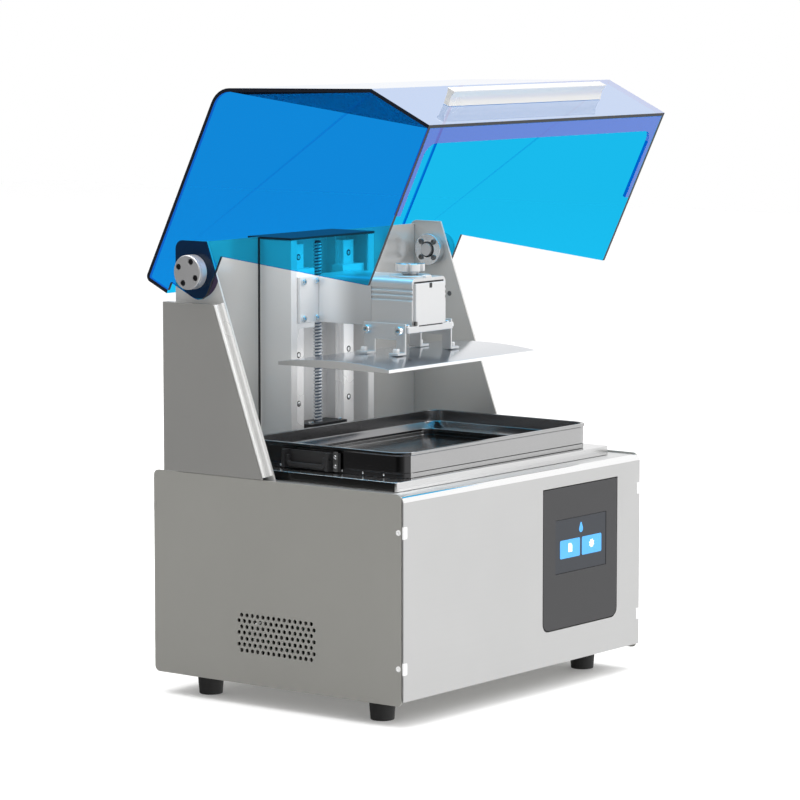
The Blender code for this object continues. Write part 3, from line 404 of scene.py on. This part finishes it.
def refined(node, material, width=0.3 * MM, segments=2, more=(), choose=None, drop=None):
    """A copy of a node, bevelled, or flat-faced with no width.

    choose says which of the materials a face gets, and drop which faces go."""
    work = whole(node, width > 0)
    if drop is not None:
        bmesh.ops.delete(work, geom=[face for face in work.faces if drop(face)], context="FACES")
    if choose is not None:
        for face in work.faces:
            face.material_index = choose(face)
    mesh = bpy.data.meshes.new(f"{node}_surface")
    work.to_mesh(mesh)
    work.free()
    for name in ("custom_normal", "sharp_edge", "sharp_face"):
        if name in mesh.attributes:
            mesh.attributes.remove(mesh.attributes[name])
    obj = piece(f"{node}_surface", mesh, body_of(node), slot_of(node), material, *more, smooth=width > 0)
    if width:
        bevelled(obj, width, segments)
    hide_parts(node)
    return obj


def loft(work, rings, close=True):
    """Joins rings of equal length, and closes the first and last unless close is False."""
    loops = [[work.verts.new(p) for p in ring] for ring in rings]
    if close:
        work.faces.new(loops[0][::-1])
        work.faces.new(loops[-1])
    for lower, upper in zip(loops, loops[1:]):
        for i, vert in enumerate(lower):
            after = (i + 1) % len(lower)
            work.faces.new((vert, lower[after], upper[after], upper[i]))
    return [vert for loop in loops for vert in loop]


def mesh_of(work, name):
    bmesh.ops.recalc_face_normals(work, faces=work.faces)
    mesh = bpy.data.meshes.new(name)
    work.to_mesh(mesh)
    work.free()
    return mesh


def circle(radius, z, sides=24):
    turns = [math.tau * i / sides for i in range(sides)]
    return [(radius * math.cos(turn), radius * math.sin(turn), z) for turn in turns]


def hexagon(flat, z, sides=24):
    """A hexagon with points along its sides, so that it joins a circle's ring."""
    points = []
    for i in range(sides):
        turn = math.tau * i / sides
        off = (turn % (math.pi / 3)) - math.pi / 6
        reach = flat / math.cos(off)
        points.append((reach * math.cos(turn), reach * math.sin(turn), z))
    return points


def screw(work, place, axis, radius, height, kind="cap"):
    """One screw head standing on place: a cap with a hex socket, a low dome with one, or a flat rivet."""
    if kind == "rivet":
        profile = [circle(radius, 0), circle(radius, height * 0.6), circle(radius * 0.8, height)]
        profile += [circle(radius * 0.45, height), circle(radius * 0.35, height * 0.45)]
    else:
        shoulder = 0.85 if kind == "cap" else 0.35
        brow = 0.9 if kind == "cap" else 0.7
        profile = [circle(radius, 0), circle(radius, height * shoulder), circle(radius * brow, height)]
        profile += [hexagon(radius * 0.45, height), hexagon(radius * 0.43, height * 0.45)]
    verts = loft(work, profile)
    turn = Vector((0, 0, 1)).rotation_difference(Vector(axis)).to_matrix().to_4x4()
    bmesh.ops.transform(work, matrix=Matrix.Translation(place) @ turn, verts=verts)


def screws(name, body, slot, material, places, axis, radius, height, kind="cap"):
    work = bmesh.new()
    for place in places:
        screw(work, Vector(place), axis, radius, height, kind)
    return piece(name, mesh_of(work, name), body, slot, material)


def back_from_front(distance):
    """The y of a place so many mm behind the cabinet's front face."""
    return (distance - ORIGIN_Y) * MM


def opened(y, z):
    """Distances back and up in the closed hood, as they lie when it is open."""
    cos, sin = math.cos(OPEN_ANGLE), math.sin(OPEN_ANGLE)
    return (y * cos + z * sin, -y * sin + z * cos)


def closed_frame(y, z):
    """A place in the closed hood, given by its distances back and up from the hinge, as it lies when open."""
    back, up = opened(y, z)
    return (HINGE.y + back, HINGE.z + up)


# ---------------------------------------------------------------- cabinet


def cabinet():
    for node in ("side_panel_right", "base_pan"):
        refined(node, SIDE_STEEL, 0.25 * MM)
    refined("side_panel_left", SIDE_STEEL, 0.0)

    # the bend at the top of the front gets the brighter, polished copy: a painted highlight with a real
    # reflection on top
    def bend_faces(face):
        return int(face.normal.y < -0.15 and face.normal.z > 0.15)

    refined("front_cover", FRONT_STEEL, 0.2 * MM, more=(BEND_HIGHLIGHT,), choose=bend_faces)
    for y in ("front", "rear"):
        for _, side in SIDES:
            refined(f"foot_{y}_{side}", RUBBER, 0.8 * MM, 3)
    low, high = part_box("side_panel_left")
    for side, name in SIDES:
        wall = side * abs(low.x)
        places = [(wall, low.y + 3.3 * MM, z) for z in TAB_HEIGHTS]
        screws(f"panel_rivets_{name}", "chassis", "rail_steel", PLATE_ALUMINIUM, places,
               (side, 0, 0), 2.5 * MM, 0.7 * MM, "rivet")
        work = bmesh.new()
        spots = [(high.y - 1.4 * MM, z, 2.6, 9.0) for z in TAB_HEIGHTS]
        spots += [(3 * MM, high.z - 1.4 * MM, 8.5, 2.8)]
        spots += [(y * MM, low.z + 1.4 * MM, 8.5, 2.8) for y in (104, -98)]
        for y, z, wide, tall in spots:
            outline = [(-1, -1), (1, -1), (1, 0.5), (0.8, 1), (-0.8, 1), (-1, 0.5)]
            outline = [(y + u * wide / 2 * MM, z + v * tall / 2 * MM) for u, v in outline]
            depths = (wall - side * 0.3 * MM, wall + side * 0.25 * MM)
            loft(work, [[(x, u, v) for u, v in outline] for x in depths])
        piece(f"edge_tabs_{name}", mesh_of(work, f"edge_tabs_{name}"), "chassis", "rail_steel", SIDE_STEEL)


def front_tabs():
    """The bright tabs that hook round the front's upright edges, two on each side."""
    low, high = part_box("front_cover")
    work = bmesh.new()
    proud, wide, tall, corner = 0.35 * MM, 5.2 * MM, 10.5 * MM, 1.2 * MM
    for side, _ in SIDES:
        edge = side * high.x
        for z in TAB_HEIGHTS:
            outline = []
            for v, start in ((tall / 2 - corner, 90), (-tall / 2 + corner, 0)):
                for i in range(4):
                    turn = math.radians(start - 30 * i)
                    outline.append((wide - corner + corner * math.cos(turn), v + corner * math.sin(turn)))
            outline = [(-proud, tall / 2), *outline, (-proud, -tall / 2)]
            rings = []
            for y in (low.y - proud, low.y + 1.2 * MM):
                rings.append([(edge - side * u, y, z + v) for u, v in outline])
            loft(work, rings)
    tabs = piece("front_tabs", mesh_of(work, "front_tabs"), "chassis", "rail_steel", PLATE_ALUMINIUM)
    bevelled(tabs, 0.15 * MM)


def screen():
    refined("screen_bezel", BEZEL, 0.3 * MM)
    refined("touch_screen", SCREEN_GLASS, 0.1 * MM)
    low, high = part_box("touch_screen")
    inset = 5.3 * MM
    x0, z0 = low.x + inset, low.z + inset
    face = low.y - 0.05 * MM
    lit = Finish("icon_blue", (0.06, 0.33, 0.72), 0.3)
    lit.set("Emission Color", (0.06, 0.33, 0.72, 1.0))
    lit.set("Emission Strength", 0.3)
    lit = lit.tinted(lit.noise((60, 60, 60)), 0.04).material
    pale = Finish("icon_white", (0.8, 0.9, 1.0), 0.3)
    pale.set("Emission Color", (0.8, 0.9, 1.0, 1.0))
    pale.set("Emission Strength", 0.4)
    pale = pale.tinted(pale.noise((60, 60, 60)), 0.04).material

    def plate(name, outline, depth, material):
        work = bmesh.new()
        rings = [[(x0 + u * MM, face - depth * MM * k, z0 + v * MM) for u, v in outline] for k in (0, 1)]
        loft(work, rings)
        return piece(name, mesh_of(work, name), "chassis", "screen", material)

    def tile(left, low_edge, wide, tall, r=1.6):
        points = []
        for cu, cv, start in ((wide - r, tall - r, 0), (r, tall - r, 90), (r, r, 180), (wide - r, r, 270)):
            for i in range(5):
                turn = math.radians(start + 22.5 * i)
                points.append((left + cu + r * math.cos(turn), low_edge + cv + r * math.sin(turn)))
        return points

    plate("button_print", tile(7.0, 12.8, 31.4, 16.8), 0.12, lit)
    plate("button_settings", tile(41.4, 12.8, 31.2, 16.8), 0.12, lit)
    sheet = [(20, 18), (26, 18), (26, 24), (24, 26), (20, 26)]
    plate("icon_print", sheet, 0.2, pale)
    cog = []
    for i in range(32):
        reach = 4.0 if (i // 2) % 2 else 3.1
        cog.append((57 + reach * math.cos(math.tau * i / 32), 22 + reach * math.sin(math.tau * i / 32)))
    plate("icon_settings", cog, 0.2, pale)
    drop = [(40 + 3 * math.sin(t), 37 - 3 * math.cos(t)) for t in (math.tau * i / 24 for i in range(24))]
    drop = [(x, z + (3.5 * max(0, (z - 37) / 3) ** 3)) for x, z in drop]
    plate("screen_drop", drop, 0.1, lit)


def tray_and_lcd():
    # the tray's left and right faces get the near-black copy of its steel: painted shade
    refined("vat_tray", TRAY_STEEL, 0.5 * MM, 3, (TRAY_SIDE_SHADE,), lambda face: int(abs(face.normal.x) > 0.9))
    refined("lcd_panel", LCD_GLASS, 0.2 * MM)
    # the film frame gets the vat's near-black painted shade, and its front faces the vat's painted light
    refined("film_frame", VAT_SIDE_SHADED, 0.3 * MM, more=(VAT_FRONT_LIT,),
            choose=lambda face: int(face.normal.y < -0.9))


# ---------------------------------------------------------------- vat


def vat():
    low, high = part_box("vat")

    # front faces get the lighter copy (painted light), outer side faces the near-black copy (painted shade)
    def faces(face):
        spot = face.calc_center_median()
        if face.normal.y < -0.98 and spot.y < low.y + 4 * MM:
            return 1
        outer = min(spot.x - low.x, high.x - spot.x) < 12 * MM and face.normal.x * spot.x > 0
        return 2 if outer else 0

    refined("vat", VAT_BLACK, 0.5 * MM, 3, (VAT_FRONT_LIT, VAT_SIDE_SHADED), faces)
    for _, side in SIDES:
        refined(f"vat_handle_{side}", BLACK_PLASTIC, 0.5 * MM, 3)
        refined(f"vat_handle_bracket_{side}", BLACK_PLASTIC, 0.3 * MM)
    low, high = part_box("film_frame")
    seam = high.z - 1.8 * MM
    for side, name in SIDES:
        wall = side * high.x
        places = [(wall, low.y + (22 + 23 * i) * MM, seam) for i in range(7)]
        screws(f"vat_screws_{name}", "vat", "rail_steel", SCREW_STEEL, places,
               (side, 0, 0), 0.9 * MM, 0.3 * MM, "dome")
        box_low, box_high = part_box(f"vat_handle_bracket_{name}")
        plate = side * (abs(box_low.x + box_high.x) / 2 - (box_high.x - box_low.x) / 2 + 1.5 * MM)
        rows = (box_low.z + 4.5 * MM, box_high.z - 3.5 * MM)
        strip = side * (abs(plate) + 1.0 * MM)
        work = bmesh.new()
        outline = []
        for cu, cv, start in ((1, 1, 0), (-1, 1, 90), (-1, -1, 180), (1, -1, 270)):
            for i in range(4):
                turn = math.radians(start + 30 * i)
                outline.append((cu * 1.3 + 1.2 * math.cos(turn), cv * 7.6 + 1.2 * math.sin(turn)))
        across, up = box_low.y + 4.2 * MM, (rows[0] + rows[1]) / 2
        loft(work, [[(x, across + u * MM, up + v * MM) for u, v in outline] for x in (plate, strip)])
        mesh = mesh_of(work, f"bracket_strip_{name}")
        piece(f"bracket_strip_{name}", mesh, "vat", "rail_steel", DARK_STEEL)
        places = [(plate, box_high.y - 2.7 * MM, z) for z in rows] + [(strip, across, z) for z in rows]
        screws(f"bracket_bolts_{name}", "vat", "rail_steel", SCREW_STEEL, places,
               (side, 0, 0), 1.7 * MM, 1.0 * MM)


# ---------------------------------------------------------------- towers


def outer_faces(face):
    """1 for faces that look away from the machine's middle."""
    return int(face.normal.x * face.calc_center_median().x > 0 and abs(face.normal.x) > 0.5)


def towers():
    for _, side in SIDES:
        refined(f"tower_plate_{side}", PLATE_STEEL, 0.2 * MM, 2, (PLATE_OUTSIDE,), outer_faces)
        refined(f"tower_skin_{side}", SKIN_STEEL, 0.2 * MM)
        refined(f"hood_channel_{side}", BRIGHT_ALUMINIUM, 0.2 * MM)
        refined(f"back_wall_{side}", WALL_STEEL, 0.2 * MM)
        refined(f"hinge_hub_{side}", HUB_STEEL, 0.4 * MM)
    for side, name in SIDES:
        low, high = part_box(f"hinge_hub_{name}")
        face = side * min(abs(low.x), abs(high.x))
        places = []
        for i in range(4):
            turn = math.radians(45 + 90 * i)
            places.append((face, HINGE.y + 10.4 * MM * math.cos(turn), HINGE.z + 10.4 * MM * math.sin(turn)))
        screws(f"hub_screws_{name}", "chassis", "rail_steel", DARK_STEEL, places,
               (-side, 0, 0), 2.6 * MM, 1.1 * MM)
        work = bmesh.new()
        rings = []
        for radius, out in ((7.6, 0.0), (7.6, 0.5), (6.6, 0.5), (6.6, 0.0)):
            ring = circle(radius * MM, 0, 32)
            rings.append([(face - side * out * MM, HINGE.y + x, HINGE.z + y) for x, y, _ in ring])
        loft(work, rings + rings[:1], close=False)
        bmesh.ops.remove_doubles(work, verts=work.verts, dist=1e-7)
        piece(f"hub_seal_{name}", mesh_of(work, f"hub_seal_{name}"), "chassis", "rubber", RUBBER)
        plate_low, plate_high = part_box(f"tower_plate_{name}")
        inner = side * min(abs(plate_low.x), abs(plate_high.x))
        place = [(inner + side * 0.1 * MM, back_from_front(213.0), 339.9 * MM)]
        screws(f"plate_screw_{name}", "chassis", "supply_case", DARK_STEEL, place,
               (-side, 0, 0), 2.4 * MM, 0.3 * MM, "dome")
        place = [(inner, back_from_front(y), z * MM) for y, z in ((243.0, 344.0), (186.0, 226.0))]
        screws(f"plate_rivets_{name}", "chassis", "rail_steel", PLATE_STEEL, place,
               (-side, 0, 0), 1.7 * MM, 0.25 * MM, "dome")


# ---------------------------------------------------------------- column and carriage


def thread():
    """The lead screw with its thread: rings along it, whose radius follows the helix."""
    low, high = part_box("lead_screw")
    middle = (low + high) / 2
    coupling_top = 213.0 * MM
    sides, per_pitch = 20, 10
    crest, root = 4.1 * MM, 3.0 * MM
    top = high.z - 1.5 * MM
    work = bmesh.new()
    rings = [circle(7.6 * MM, low.z + 12.5 * MM, sides), circle(8.0 * MM, low.z + 13 * MM, sides)]
    rings += [circle(8.0 * MM, coupling_top - 0.5 * MM, sides), circle(7.5 * MM, coupling_top, sides)]
    rings.append(circle(root, coupling_top, sides))
    for k in range(1, int((top - coupling_top) / SCREW_PITCH * per_pitch)):
        z = coupling_top + k * SCREW_PITCH / per_pitch
        ring = []
        for i in range(sides):
            phase = (z / SCREW_PITCH - i / sides) % 1.0
            rise = min(1.0, max(0.0, 2.9 - abs(phase - 0.5) * 8.0))
            radius = root + (crest - root) * rise
            turn = math.tau * i / sides
            ring.append((radius * math.cos(turn), radius * math.sin(turn), z))
        rings.append(ring)
    rings += [circle(root, top, sides), circle(root - 0.4 * MM, high.z, sides)]
    loft(work, rings)
    bmesh.ops.translate(work, vec=(middle.x, middle.y, 0), verts=work.verts)
    # faces deep in the groove get the dark copy: painted shade
    axis = Vector((middle.x, middle.y))
    for face in work.faces:
        spot = face.calc_center_median()
        deep = (spot.xy - axis).length < (crest + root) / 2 - 0.2 * MM
        face.material_index = 1 if deep and spot.z > coupling_top else 0
    mesh = mesh_of(work, "lead_screw_thread")
    obj = piece("lead_screw_thread", mesh, "screw", "rail_steel", THREAD_STEEL, THREAD_ROOT_SHADE)
    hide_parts("lead_screw")


def column():
    # the column's inner faces get the glowing copy of its aluminium: painted light
    refined("column_housing", GLOWING_COLUMN_INSIDE, 0.3 * MM, 2, (COLUMN_ALUMINIUM,), outer_faces)
    refined("column_cap", DARK_METAL, 0.3 * MM)
    refined("lower_bearing", DARK_METAL, 0.5 * MM)
    low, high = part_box("rail_left")
    for side, name in SIDES:
        # the rails and blocks glow a little: painted light
        refined(f"rail_{name}", GLOWING_RAIL_STEEL, 0.3 * MM)
        refined(f"rail_block_{name}", GLOWING_RAIL_STEEL, 0.5 * MM, 3)
        x = side * abs(low.x + high.x) / 2
        places = [(x, low.y, 251.7 * MM + i * 44.8 * MM) for i in range(4)]
        screws(f"rail_bores_{name}", "chassis", "black_aluminium", BLACK_SCREW, places,
               (0, -1, 0), 2.9 * MM, 0.12 * MM, "dome")
        places = [(x, low.y - 0.05 * MM, z) for _, _, z in places]
        screws(f"rail_screws_{name}", "chassis", "rail_steel", SCREW_STEEL, places,
               (0, -1, 0), 1.9 * MM, 0.3 * MM)
    wall_low, wall_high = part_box("back_wall_left")
    work = bmesh.new()
    for side, _ in SIDES:
        near = abs(wall_high.x) + 0.2 * MM
        far = near + 2.0 * MM
        y, lip = wall_low.y, wall_low.y - 0.5 * MM
        section = ((near, y), (near, lip - 0.3 * MM), (near + 0.8 * MM, lip), (far, lip), (far, y))
        outline = [(side * x, v) for x, v in section]
        loft(work, [[(x, v, z) for x, v in outline] for z in (wall_low.z + 1 * MM, wall_high.z)])
    piece("wall_seals", mesh_of(work, "wall_seals"), "chassis", "rubber", RUBBER)
    bearing_low, bearing_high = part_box("lower_bearing")
    places = [(x * MM, bearing_low.y + 4.5 * MM, bearing_high.z) for x in (-21, 21)]
    screws("bearing_screws", "chassis", "rail_steel", SCREW_STEEL, places, (0, 0, 1), 2.8 * MM, 1.6 * MM)
    thread()


def carriage():
    refined("carriage_plate", PLATE_ALUMINIUM, 0.4 * MM)
    refined("lead_nut", BRASS, 0.3 * MM)
    # the arm's aluminium carries painted shade, darker towards its front end
    refined("arm", ARM_SHADED_ALUMINIUM, 0.4 * MM)
    refined("clamp_body", CLEAR_ALUMINIUM, 0.15 * MM)
    low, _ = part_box("carriage_plate")
    places = [(side * x * MM, low.y, z * MM) for side in (-1, 1) for x in (29, 47.4) for z in (331.5, 364.8)]
    screws("carriage_bolts", "carriage", "rail_steel", SCREW_STEEL, places, (0, -1, 0), 2.75 * MM, 2.6 * MM)


def knob():
    """The knob's six lobes with round corners, and the low boss that it stands over."""
    low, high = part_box("clamp_knob")
    centre = (low + high) / 2
    around, lobes = 96, 6
    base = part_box("clamp_body")[1].z
    neck, grip = base + 2.3 * MM, base + 4.9 * MM

    def ring(radius, notch, z):
        points = []
        for i in range(around):
            turn = math.tau * (i + 0.5) / around
            across = abs(((turn * lobes / math.tau) % 1.0) - 0.5) * 2
            reach = radius - notch * (1 - min(1.0, max(0.0, across * 4.2 - 0.4)))
            points.append((centre.x + reach * math.cos(turn), centre.y + reach * math.sin(turn), z))
        return points

    work = bmesh.new()
    rings = [ring(4.9 * MM, 0, base + 0.3 * MM), ring(4.9 * MM, 0, neck), ring(8.0 * MM, 1.6 * MM, neck)]
    rings += [ring(8.0 * MM, 1.6 * MM, grip), ring(12.8 * MM, 4.2 * MM, grip)]
    rings.append(ring(13.2 * MM, 4.4 * MM, grip + 0.4 * MM))
    rings += [ring(13.2 * MM, 4.4 * MM, high.z - 0.5 * MM), ring(12.7 * MM, 4.4 * MM, high.z)]
    loft(work, rings)
    for face in work.faces:
        face.material_index = 1 if face.calc_center_median().z > high.z - 0.6 * MM else 0
    obj = piece("knob_grip", mesh_of(work, "knob_grip"), "knob", slot_of("clamp_knob"), WHITE_METAL, GRIP_TOP)
    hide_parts("clamp_knob")

    work = bmesh.new()
    rings = []
    for radius, z in ((18.8, 0), (18.8, 1.0), (18.2, 1.4), (7.0, 1.4), (7.0, 0.05)):
        rings.append([(centre.x + x, centre.y + y, base + z * MM) for x, y, _ in circle(radius * MM, 0, 48)])
    loft(work, rings + rings[:1], close=False)
    bmesh.ops.remove_doubles(work, verts=work.verts, dist=1e-7)
    piece("clamp_boss", mesh_of(work, "clamp_boss"), "carriage", "machined_aluminium", CLEAR_ALUMINIUM)

    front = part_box("clamp_body")[0].y
    work = bmesh.new()
    outline = [(-4.2, -0.2), (4.2, -0.2), (4.2, 1.0), (3.2, 1.9), (-3.2, 1.9), (-4.2, 1.0)]
    loft(work, [[(u * MM, y, base + v * MM) for u, v in outline] for y in (front, front + 5 * MM)])
    piece("clamp_lug", mesh_of(work, "clamp_lug"), "carriage", "machined_aluminium", WHITE_METAL)


def platform():
    # the platform's left and right edge faces get the darker copy: painted shade; front and back faces stay
    # bright
    refined("build_platform", PLATFORM_ALUMINIUM, 0.3 * MM, 2, (PLATFORM_SIDE_SHADED, PLATE_ALUMINIUM),
            lambda face: 0 if abs(face.normal.z) > 0.3 else 1 if abs(face.normal.x) > 0.5 else 2)
    refined("mount_block", WHITE_METAL, 0.6 * MM, 3)
    block_low, block_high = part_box("mount_block")
    # painted shadow: thin black plates on the block's front where the top notch, the gap above the flange and
    # a small hole lie in shade
    work = bmesh.new()
    face = block_low.y - 0.08 * MM
    slots = ((0, block_high.z - 2.4 * MM, 4.0, 4.4), (0, 328.7 * MM, 35.0, 1.1),
             (-22.6, 331.2 * MM, 1.6, 3.2))
    for u, v, wide, tall in slots:
        outline = []
        for x, z in ((-1, -1), (1, -1), (1, 1), (-1, 1)):
            outline.append((u * MM + x * wide / 2 * MM, v + z * tall / 2 * MM))
        outline.insert(2, (u * MM + wide / 2 * MM + 0.1 * MM, v))
        loft(work, [[(x, y, z) for x, z in outline] for y in (face, face + 1.5 * MM)])
    piece("block_painted_shadows", mesh_of(work, "block_painted_shadows"), "platform", "black_plastic", BLACK_PLASTIC)
    places = [(side * 29.2 * MM, block_low.y + 4.6 * MM, 328.7 * MM) for side, _ in SIDES]
    screws("flange_screws", "platform", "rail_steel", SCREW_STEEL, places, (0, 0, 1), 2.8 * MM, 1.8 * MM)
    for side, name in SIDES:
        refined(f"bracket_plate_{name}", CLEAR_ALUMINIUM, 0.25 * MM)
        low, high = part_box(f"bracket_plate_{name}")
        wall = side * 35.2 * MM
        places = [(wall, y, 325.4 * MM) for y in (low.y + 5.3 * MM, high.y - 5.2 * MM)]
        screws(f"bracket_screws_{name}", "platform", "rail_steel", SCREW_STEEL, places,
               (side, 0, 0), 4.0 * MM, 4.8 * MM)
        places = [(side * 41.2 * MM, y, low.z + 2 * MM) for y in (low.y + 5.3 * MM, high.y - 5.2 * MM)]
        screws(f"foot_screws_{name}", "platform", "white_aluminium", WHITE_METAL, places,
               (0, 0, 1), 3.1 * MM, 3.6 * MM)


# ---------------------------------------------------------------- hood


def open_normal(y, z):
    """A direction of the closed hood, as it lies when open."""
    return Vector((0, *opened(y, z)))


def bend(before, at, after, radius, steps=6):
    """Points round a corner of the hood's line."""
    one, two = (at - before).normalized(), (after - at).normalized()
    n0, n1 = Vector((one.y, -one.x)), Vector((two.y, -two.x))
    middle = at + (n0 + n1).normalized() * (radius / math.cos(n0.angle(n1) / 2))
    return [middle - n0.lerp(n1, i / steps).normalized() * radius for i in range(steps + 1)]


def rim(side, name):
    """The dark border that the sheets' glued edges make round a hood side's outer face."""
    wide, proud = 3.2 * MM, 0.05 * MM
    corners = [Vector(c) for c in HOOD_LINE]
    line = corners[:1]
    for i, radius in ((1, 1.5), (2, 23.0), (3, 5.0)):
        line += bend(*corners[i - 1:i + 2], radius)
    line.append(corners[-1])
    rings = []
    wall = side * HOOD_HALF
    for i, here in enumerate(line):
        before = here - line[i - 1] if i else line[1] - here
        after = line[i + 1] - here if i + 1 < len(line) else before
        one, two = (Vector((d.y, -d.x)).normalized() for d in (before, after))
        inner = here + (one + two) / (1 + one.dot(two)) * (wide / MM)
        turned = [closed_frame(back_from_front(c.x) - HINGE.y, c.y * MM - HINGE.z) for c in (here, inner)]
        face = wall + side * proud
        rings.append([(x, *c) for x, c in zip((wall, wall, face, face), turned + turned[::-1])])
    work = bmesh.new()
    loft(work, rings)
    bmesh.ops.recalc_face_normals(work, faces=work.faces)
    hidden = [face for face in work.faces if face.normal.x * side < -0.5]
    bmesh.ops.delete(work, geom=hidden, context="FACES_ONLY")
    mesh = bpy.data.meshes.new(f"hood_rim_{name}")
    work.to_mesh(mesh)
    work.free()
    piece(f"hood_rim_{name}", mesh, "cover", "blue_acrylic", BLACK_EDGE, smooth=False)


def hood():
    front, down = open_normal(-1, 0), open_normal(0, -1)
    sheets = []

    middle = sum(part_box("hood_shell"), Vector()) / 2

    def left_faces(face):
        return int(abs(face.normal.x) < 0.5)

    def right_faces(face):
        return int(face.normal.dot(down) > 0.3 and abs(face.normal.x) < 0.5)

    def shell_faces(face):
        if abs(face.normal.x) > 0.5 or (face.normal.dot(down) > 0.9 and face.calc_area() < 0.002):
            return 1
        return 2 if face.normal.dot(front) > 0.98 else 0

    def inside(face):
        return abs(face.normal.x) < 0.5 and face.normal.dot(face.calc_center_median() - middle) < 0

    for (side, name), faces in zip(SIDES, (left_faces, right_faces)):
        sheets.append(refined(f"hood_side_{name}", BLUE, 0.0, more=(BLACK_EDGE,), choose=faces,
                              drop=lambda face: face.normal.x * side < -0.5))
        refined(f"hinge_disc_{name}", DISC_STEEL, 0.15 * MM)
    sheets.append(refined("hood_shell", BLUE, 0.0, more=(BLACK_EDGE, PALE), choose=shell_faces, drop=inside))
    sheets.append(refined("hood_frame", DEEP_BLUE, 0.0))
    for sheet in sheets:
        sheet.visible_shadow = False
        sheet.visible_diffuse = False
    refined("hood_handle", BRIGHT_ALUMINIUM, 0.3 * MM)
    for side, name in SIDES:
        rim(side, name)
    for side, name in SIDES:
        places = []
        for i in range(4):
            turn = math.radians(90 * i)
            y, z = closed_frame(10.6 * MM * math.cos(turn), 10.6 * MM * math.sin(turn))
            places.append((side * 186.2 * MM, y, z))
        screws(f"disc_screws_{name}", "cover", "black_aluminium", BLACK_SCREW, places,
               (side, 0, 0), 2.5 * MM, 1.4 * MM)


# ---------------------------------------------------------------- back and inside


def back():
    refined("power_inlet", BLACK_PLASTIC, 0.4 * MM)
    refined("power_switch", BLACK_PLASTIC, 0.4 * MM)
    refined("fan_frame", BLACK_PLASTIC, 0.3 * MM)
    refined("fan_rotor", BLACK_PLASTIC, 0.2 * MM)
    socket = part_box("mainboard")[1].y - 8 * MM
    refined("mainboard", BOARD, 0.0, more=(SCREW_STEEL,),
            choose=lambda face: int(face.calc_center_median().y > socket))
    inside = {"light_engine": CLEAR_ALUMINIUM, "power_supply": SIDE_STEEL, "stepper_motor": DARK_METAL}
    for node, material in inside.items():
        slots = frame["nodes"][node].data.materials
        slots.clear()
        slots.append(material)


# ---------------------------------------------------------------- studio


def area(name, place, aim, size, power):
    data = bpy.data.lights.new(name, "AREA")
    data.shape = "RECTANGLE"
    data.size, data.size_y = size
    data.energy = power
    obj = bpy.data.objects.new(name, data)
    bpy.context.scene.collection.objects.link(obj)
    obj.location = place
    obj.rotation_euler = (Vector(aim) - Vector(place)).to_track_quat("-Z", "Y").to_euler()


def surroundings():
    """White to the eye. What the machine mirrors is bright from above and the right, and dark on the left."""
    world = bpy.data.worlds.new("studio")
    bpy.context.scene.world = world
    world.use_nodes = True
    tree = world.node_tree
    link = tree.links.new

    def node(kind, **settings):
        made = tree.nodes.new(kind)
        for key, value in settings.items():
            setattr(made, key, value)
        return made

    def along(direction):
        dot = node("ShaderNodeVectorMath", operation="DOT_PRODUCT")
        link(way.outputs["Generated"], dot.inputs[0])
        dot.inputs[1].default_value = Vector(direction).normalized()
        return dot.outputs["Value"]

    def steps(value, low, high, start, end):
        ramp = node("ShaderNodeMapRange", interpolation_type="SMOOTHSTEP")
        for key, number in zip(("From Min", "From Max", "To Min", "To Max"), (low, high, start, end)):
            ramp.inputs[key].default_value = number
        link(value, ramp.inputs["Value"])
        return ramp.outputs["Result"]

    def times(one, two):
        made = node("ShaderNodeMath", operation="MULTIPLY")
        link(one, made.inputs[0])
        link(two, made.inputs[1])
        return made.outputs["Value"]

    way = node("ShaderNodeTexCoord")
    ring = steps(along((0.788, -0.605, 0)), -0.5, 0.2, 0.16, 1.0)
    ring = times(ring, steps(along((-0.79, -0.6, 0)), 0.82, 0.95, 1.0, 0.3))
    dome = node("ShaderNodeMix", data_type="FLOAT")
    link(steps(along((0, 0, 1)), 0.12, 0.5, 0.0, 1.0), dome.inputs["Factor"])
    link(ring, dome.inputs["A"])
    dome.inputs["B"].default_value = 1.0
    seen = node("ShaderNodeLightPath")
    shown = node("ShaderNodeMix", data_type="FLOAT")
    link(seen.outputs["Is Camera Ray"], shown.inputs["Factor"])
    link(dome.outputs["Result"], shown.inputs["A"])
    shown.inputs["B"].default_value = 1.0
    link(shown.outputs["Result"], tree.nodes["Background"].inputs["Strength"])
    tree.nodes["Background"].inputs["Color"].default_value = (1, 1, 1, 1)


def studio():
    scene = bpy.context.scene
    floor_mesh = bpy.data.meshes.new("floor")
    work = bmesh.new()
    corners = ((-1, -1), (1, -1), (1, 1), (-1, 1))
    work.faces.new([work.verts.new((x * FLOOR_HALF, y * FLOOR_HALF, 0)) for x, y in corners])
    work.to_mesh(floor_mesh)
    work.free()
    floor = bpy.data.objects.new("floor", floor_mesh)
    floor_paint = Finish("floor_paint", (0.9, 0.9, 0.9), 0.9)
    floor_paint.set("Emission Color", (1, 1, 1, 1))
    floor_paint.set("Emission Strength", 0.12)
    floor_mesh.materials.append(floor_paint.tinted(floor_paint.noise((2, 2, 2)), 0.005).material)
    scene.collection.objects.link(floor)
    floor.visible_glossy = False
    surroundings()
    area("key", (1.2, -2.4, 2.2), (0, 0, 0.25), (1.6, 1.6), 30)
    area("top", (-0.2, 0.1, 2.6), (0, 0, 0.2), (3.0, 3.0), 70)
    camera = bpy.data.cameras.new("camera")
    camera.sensor_width = 36.0
    camera.lens = 166.55
    eye = bpy.data.objects.new("camera", camera)
    eye.location = (-2.6495, -2.0210, 0.6394)
    eye.rotation_euler = (math.radians(83.482), 0, math.radians(-52.528))
    scene.collection.objects.link(eye)
    scene.camera = eye
    scene.view_settings.view_transform = "Standard"


cabinet()
front_tabs()
screen()
tray_and_lcd()
vat()
towers()
column()
carriage()
knob()
platform()
hood()
back()
studio()
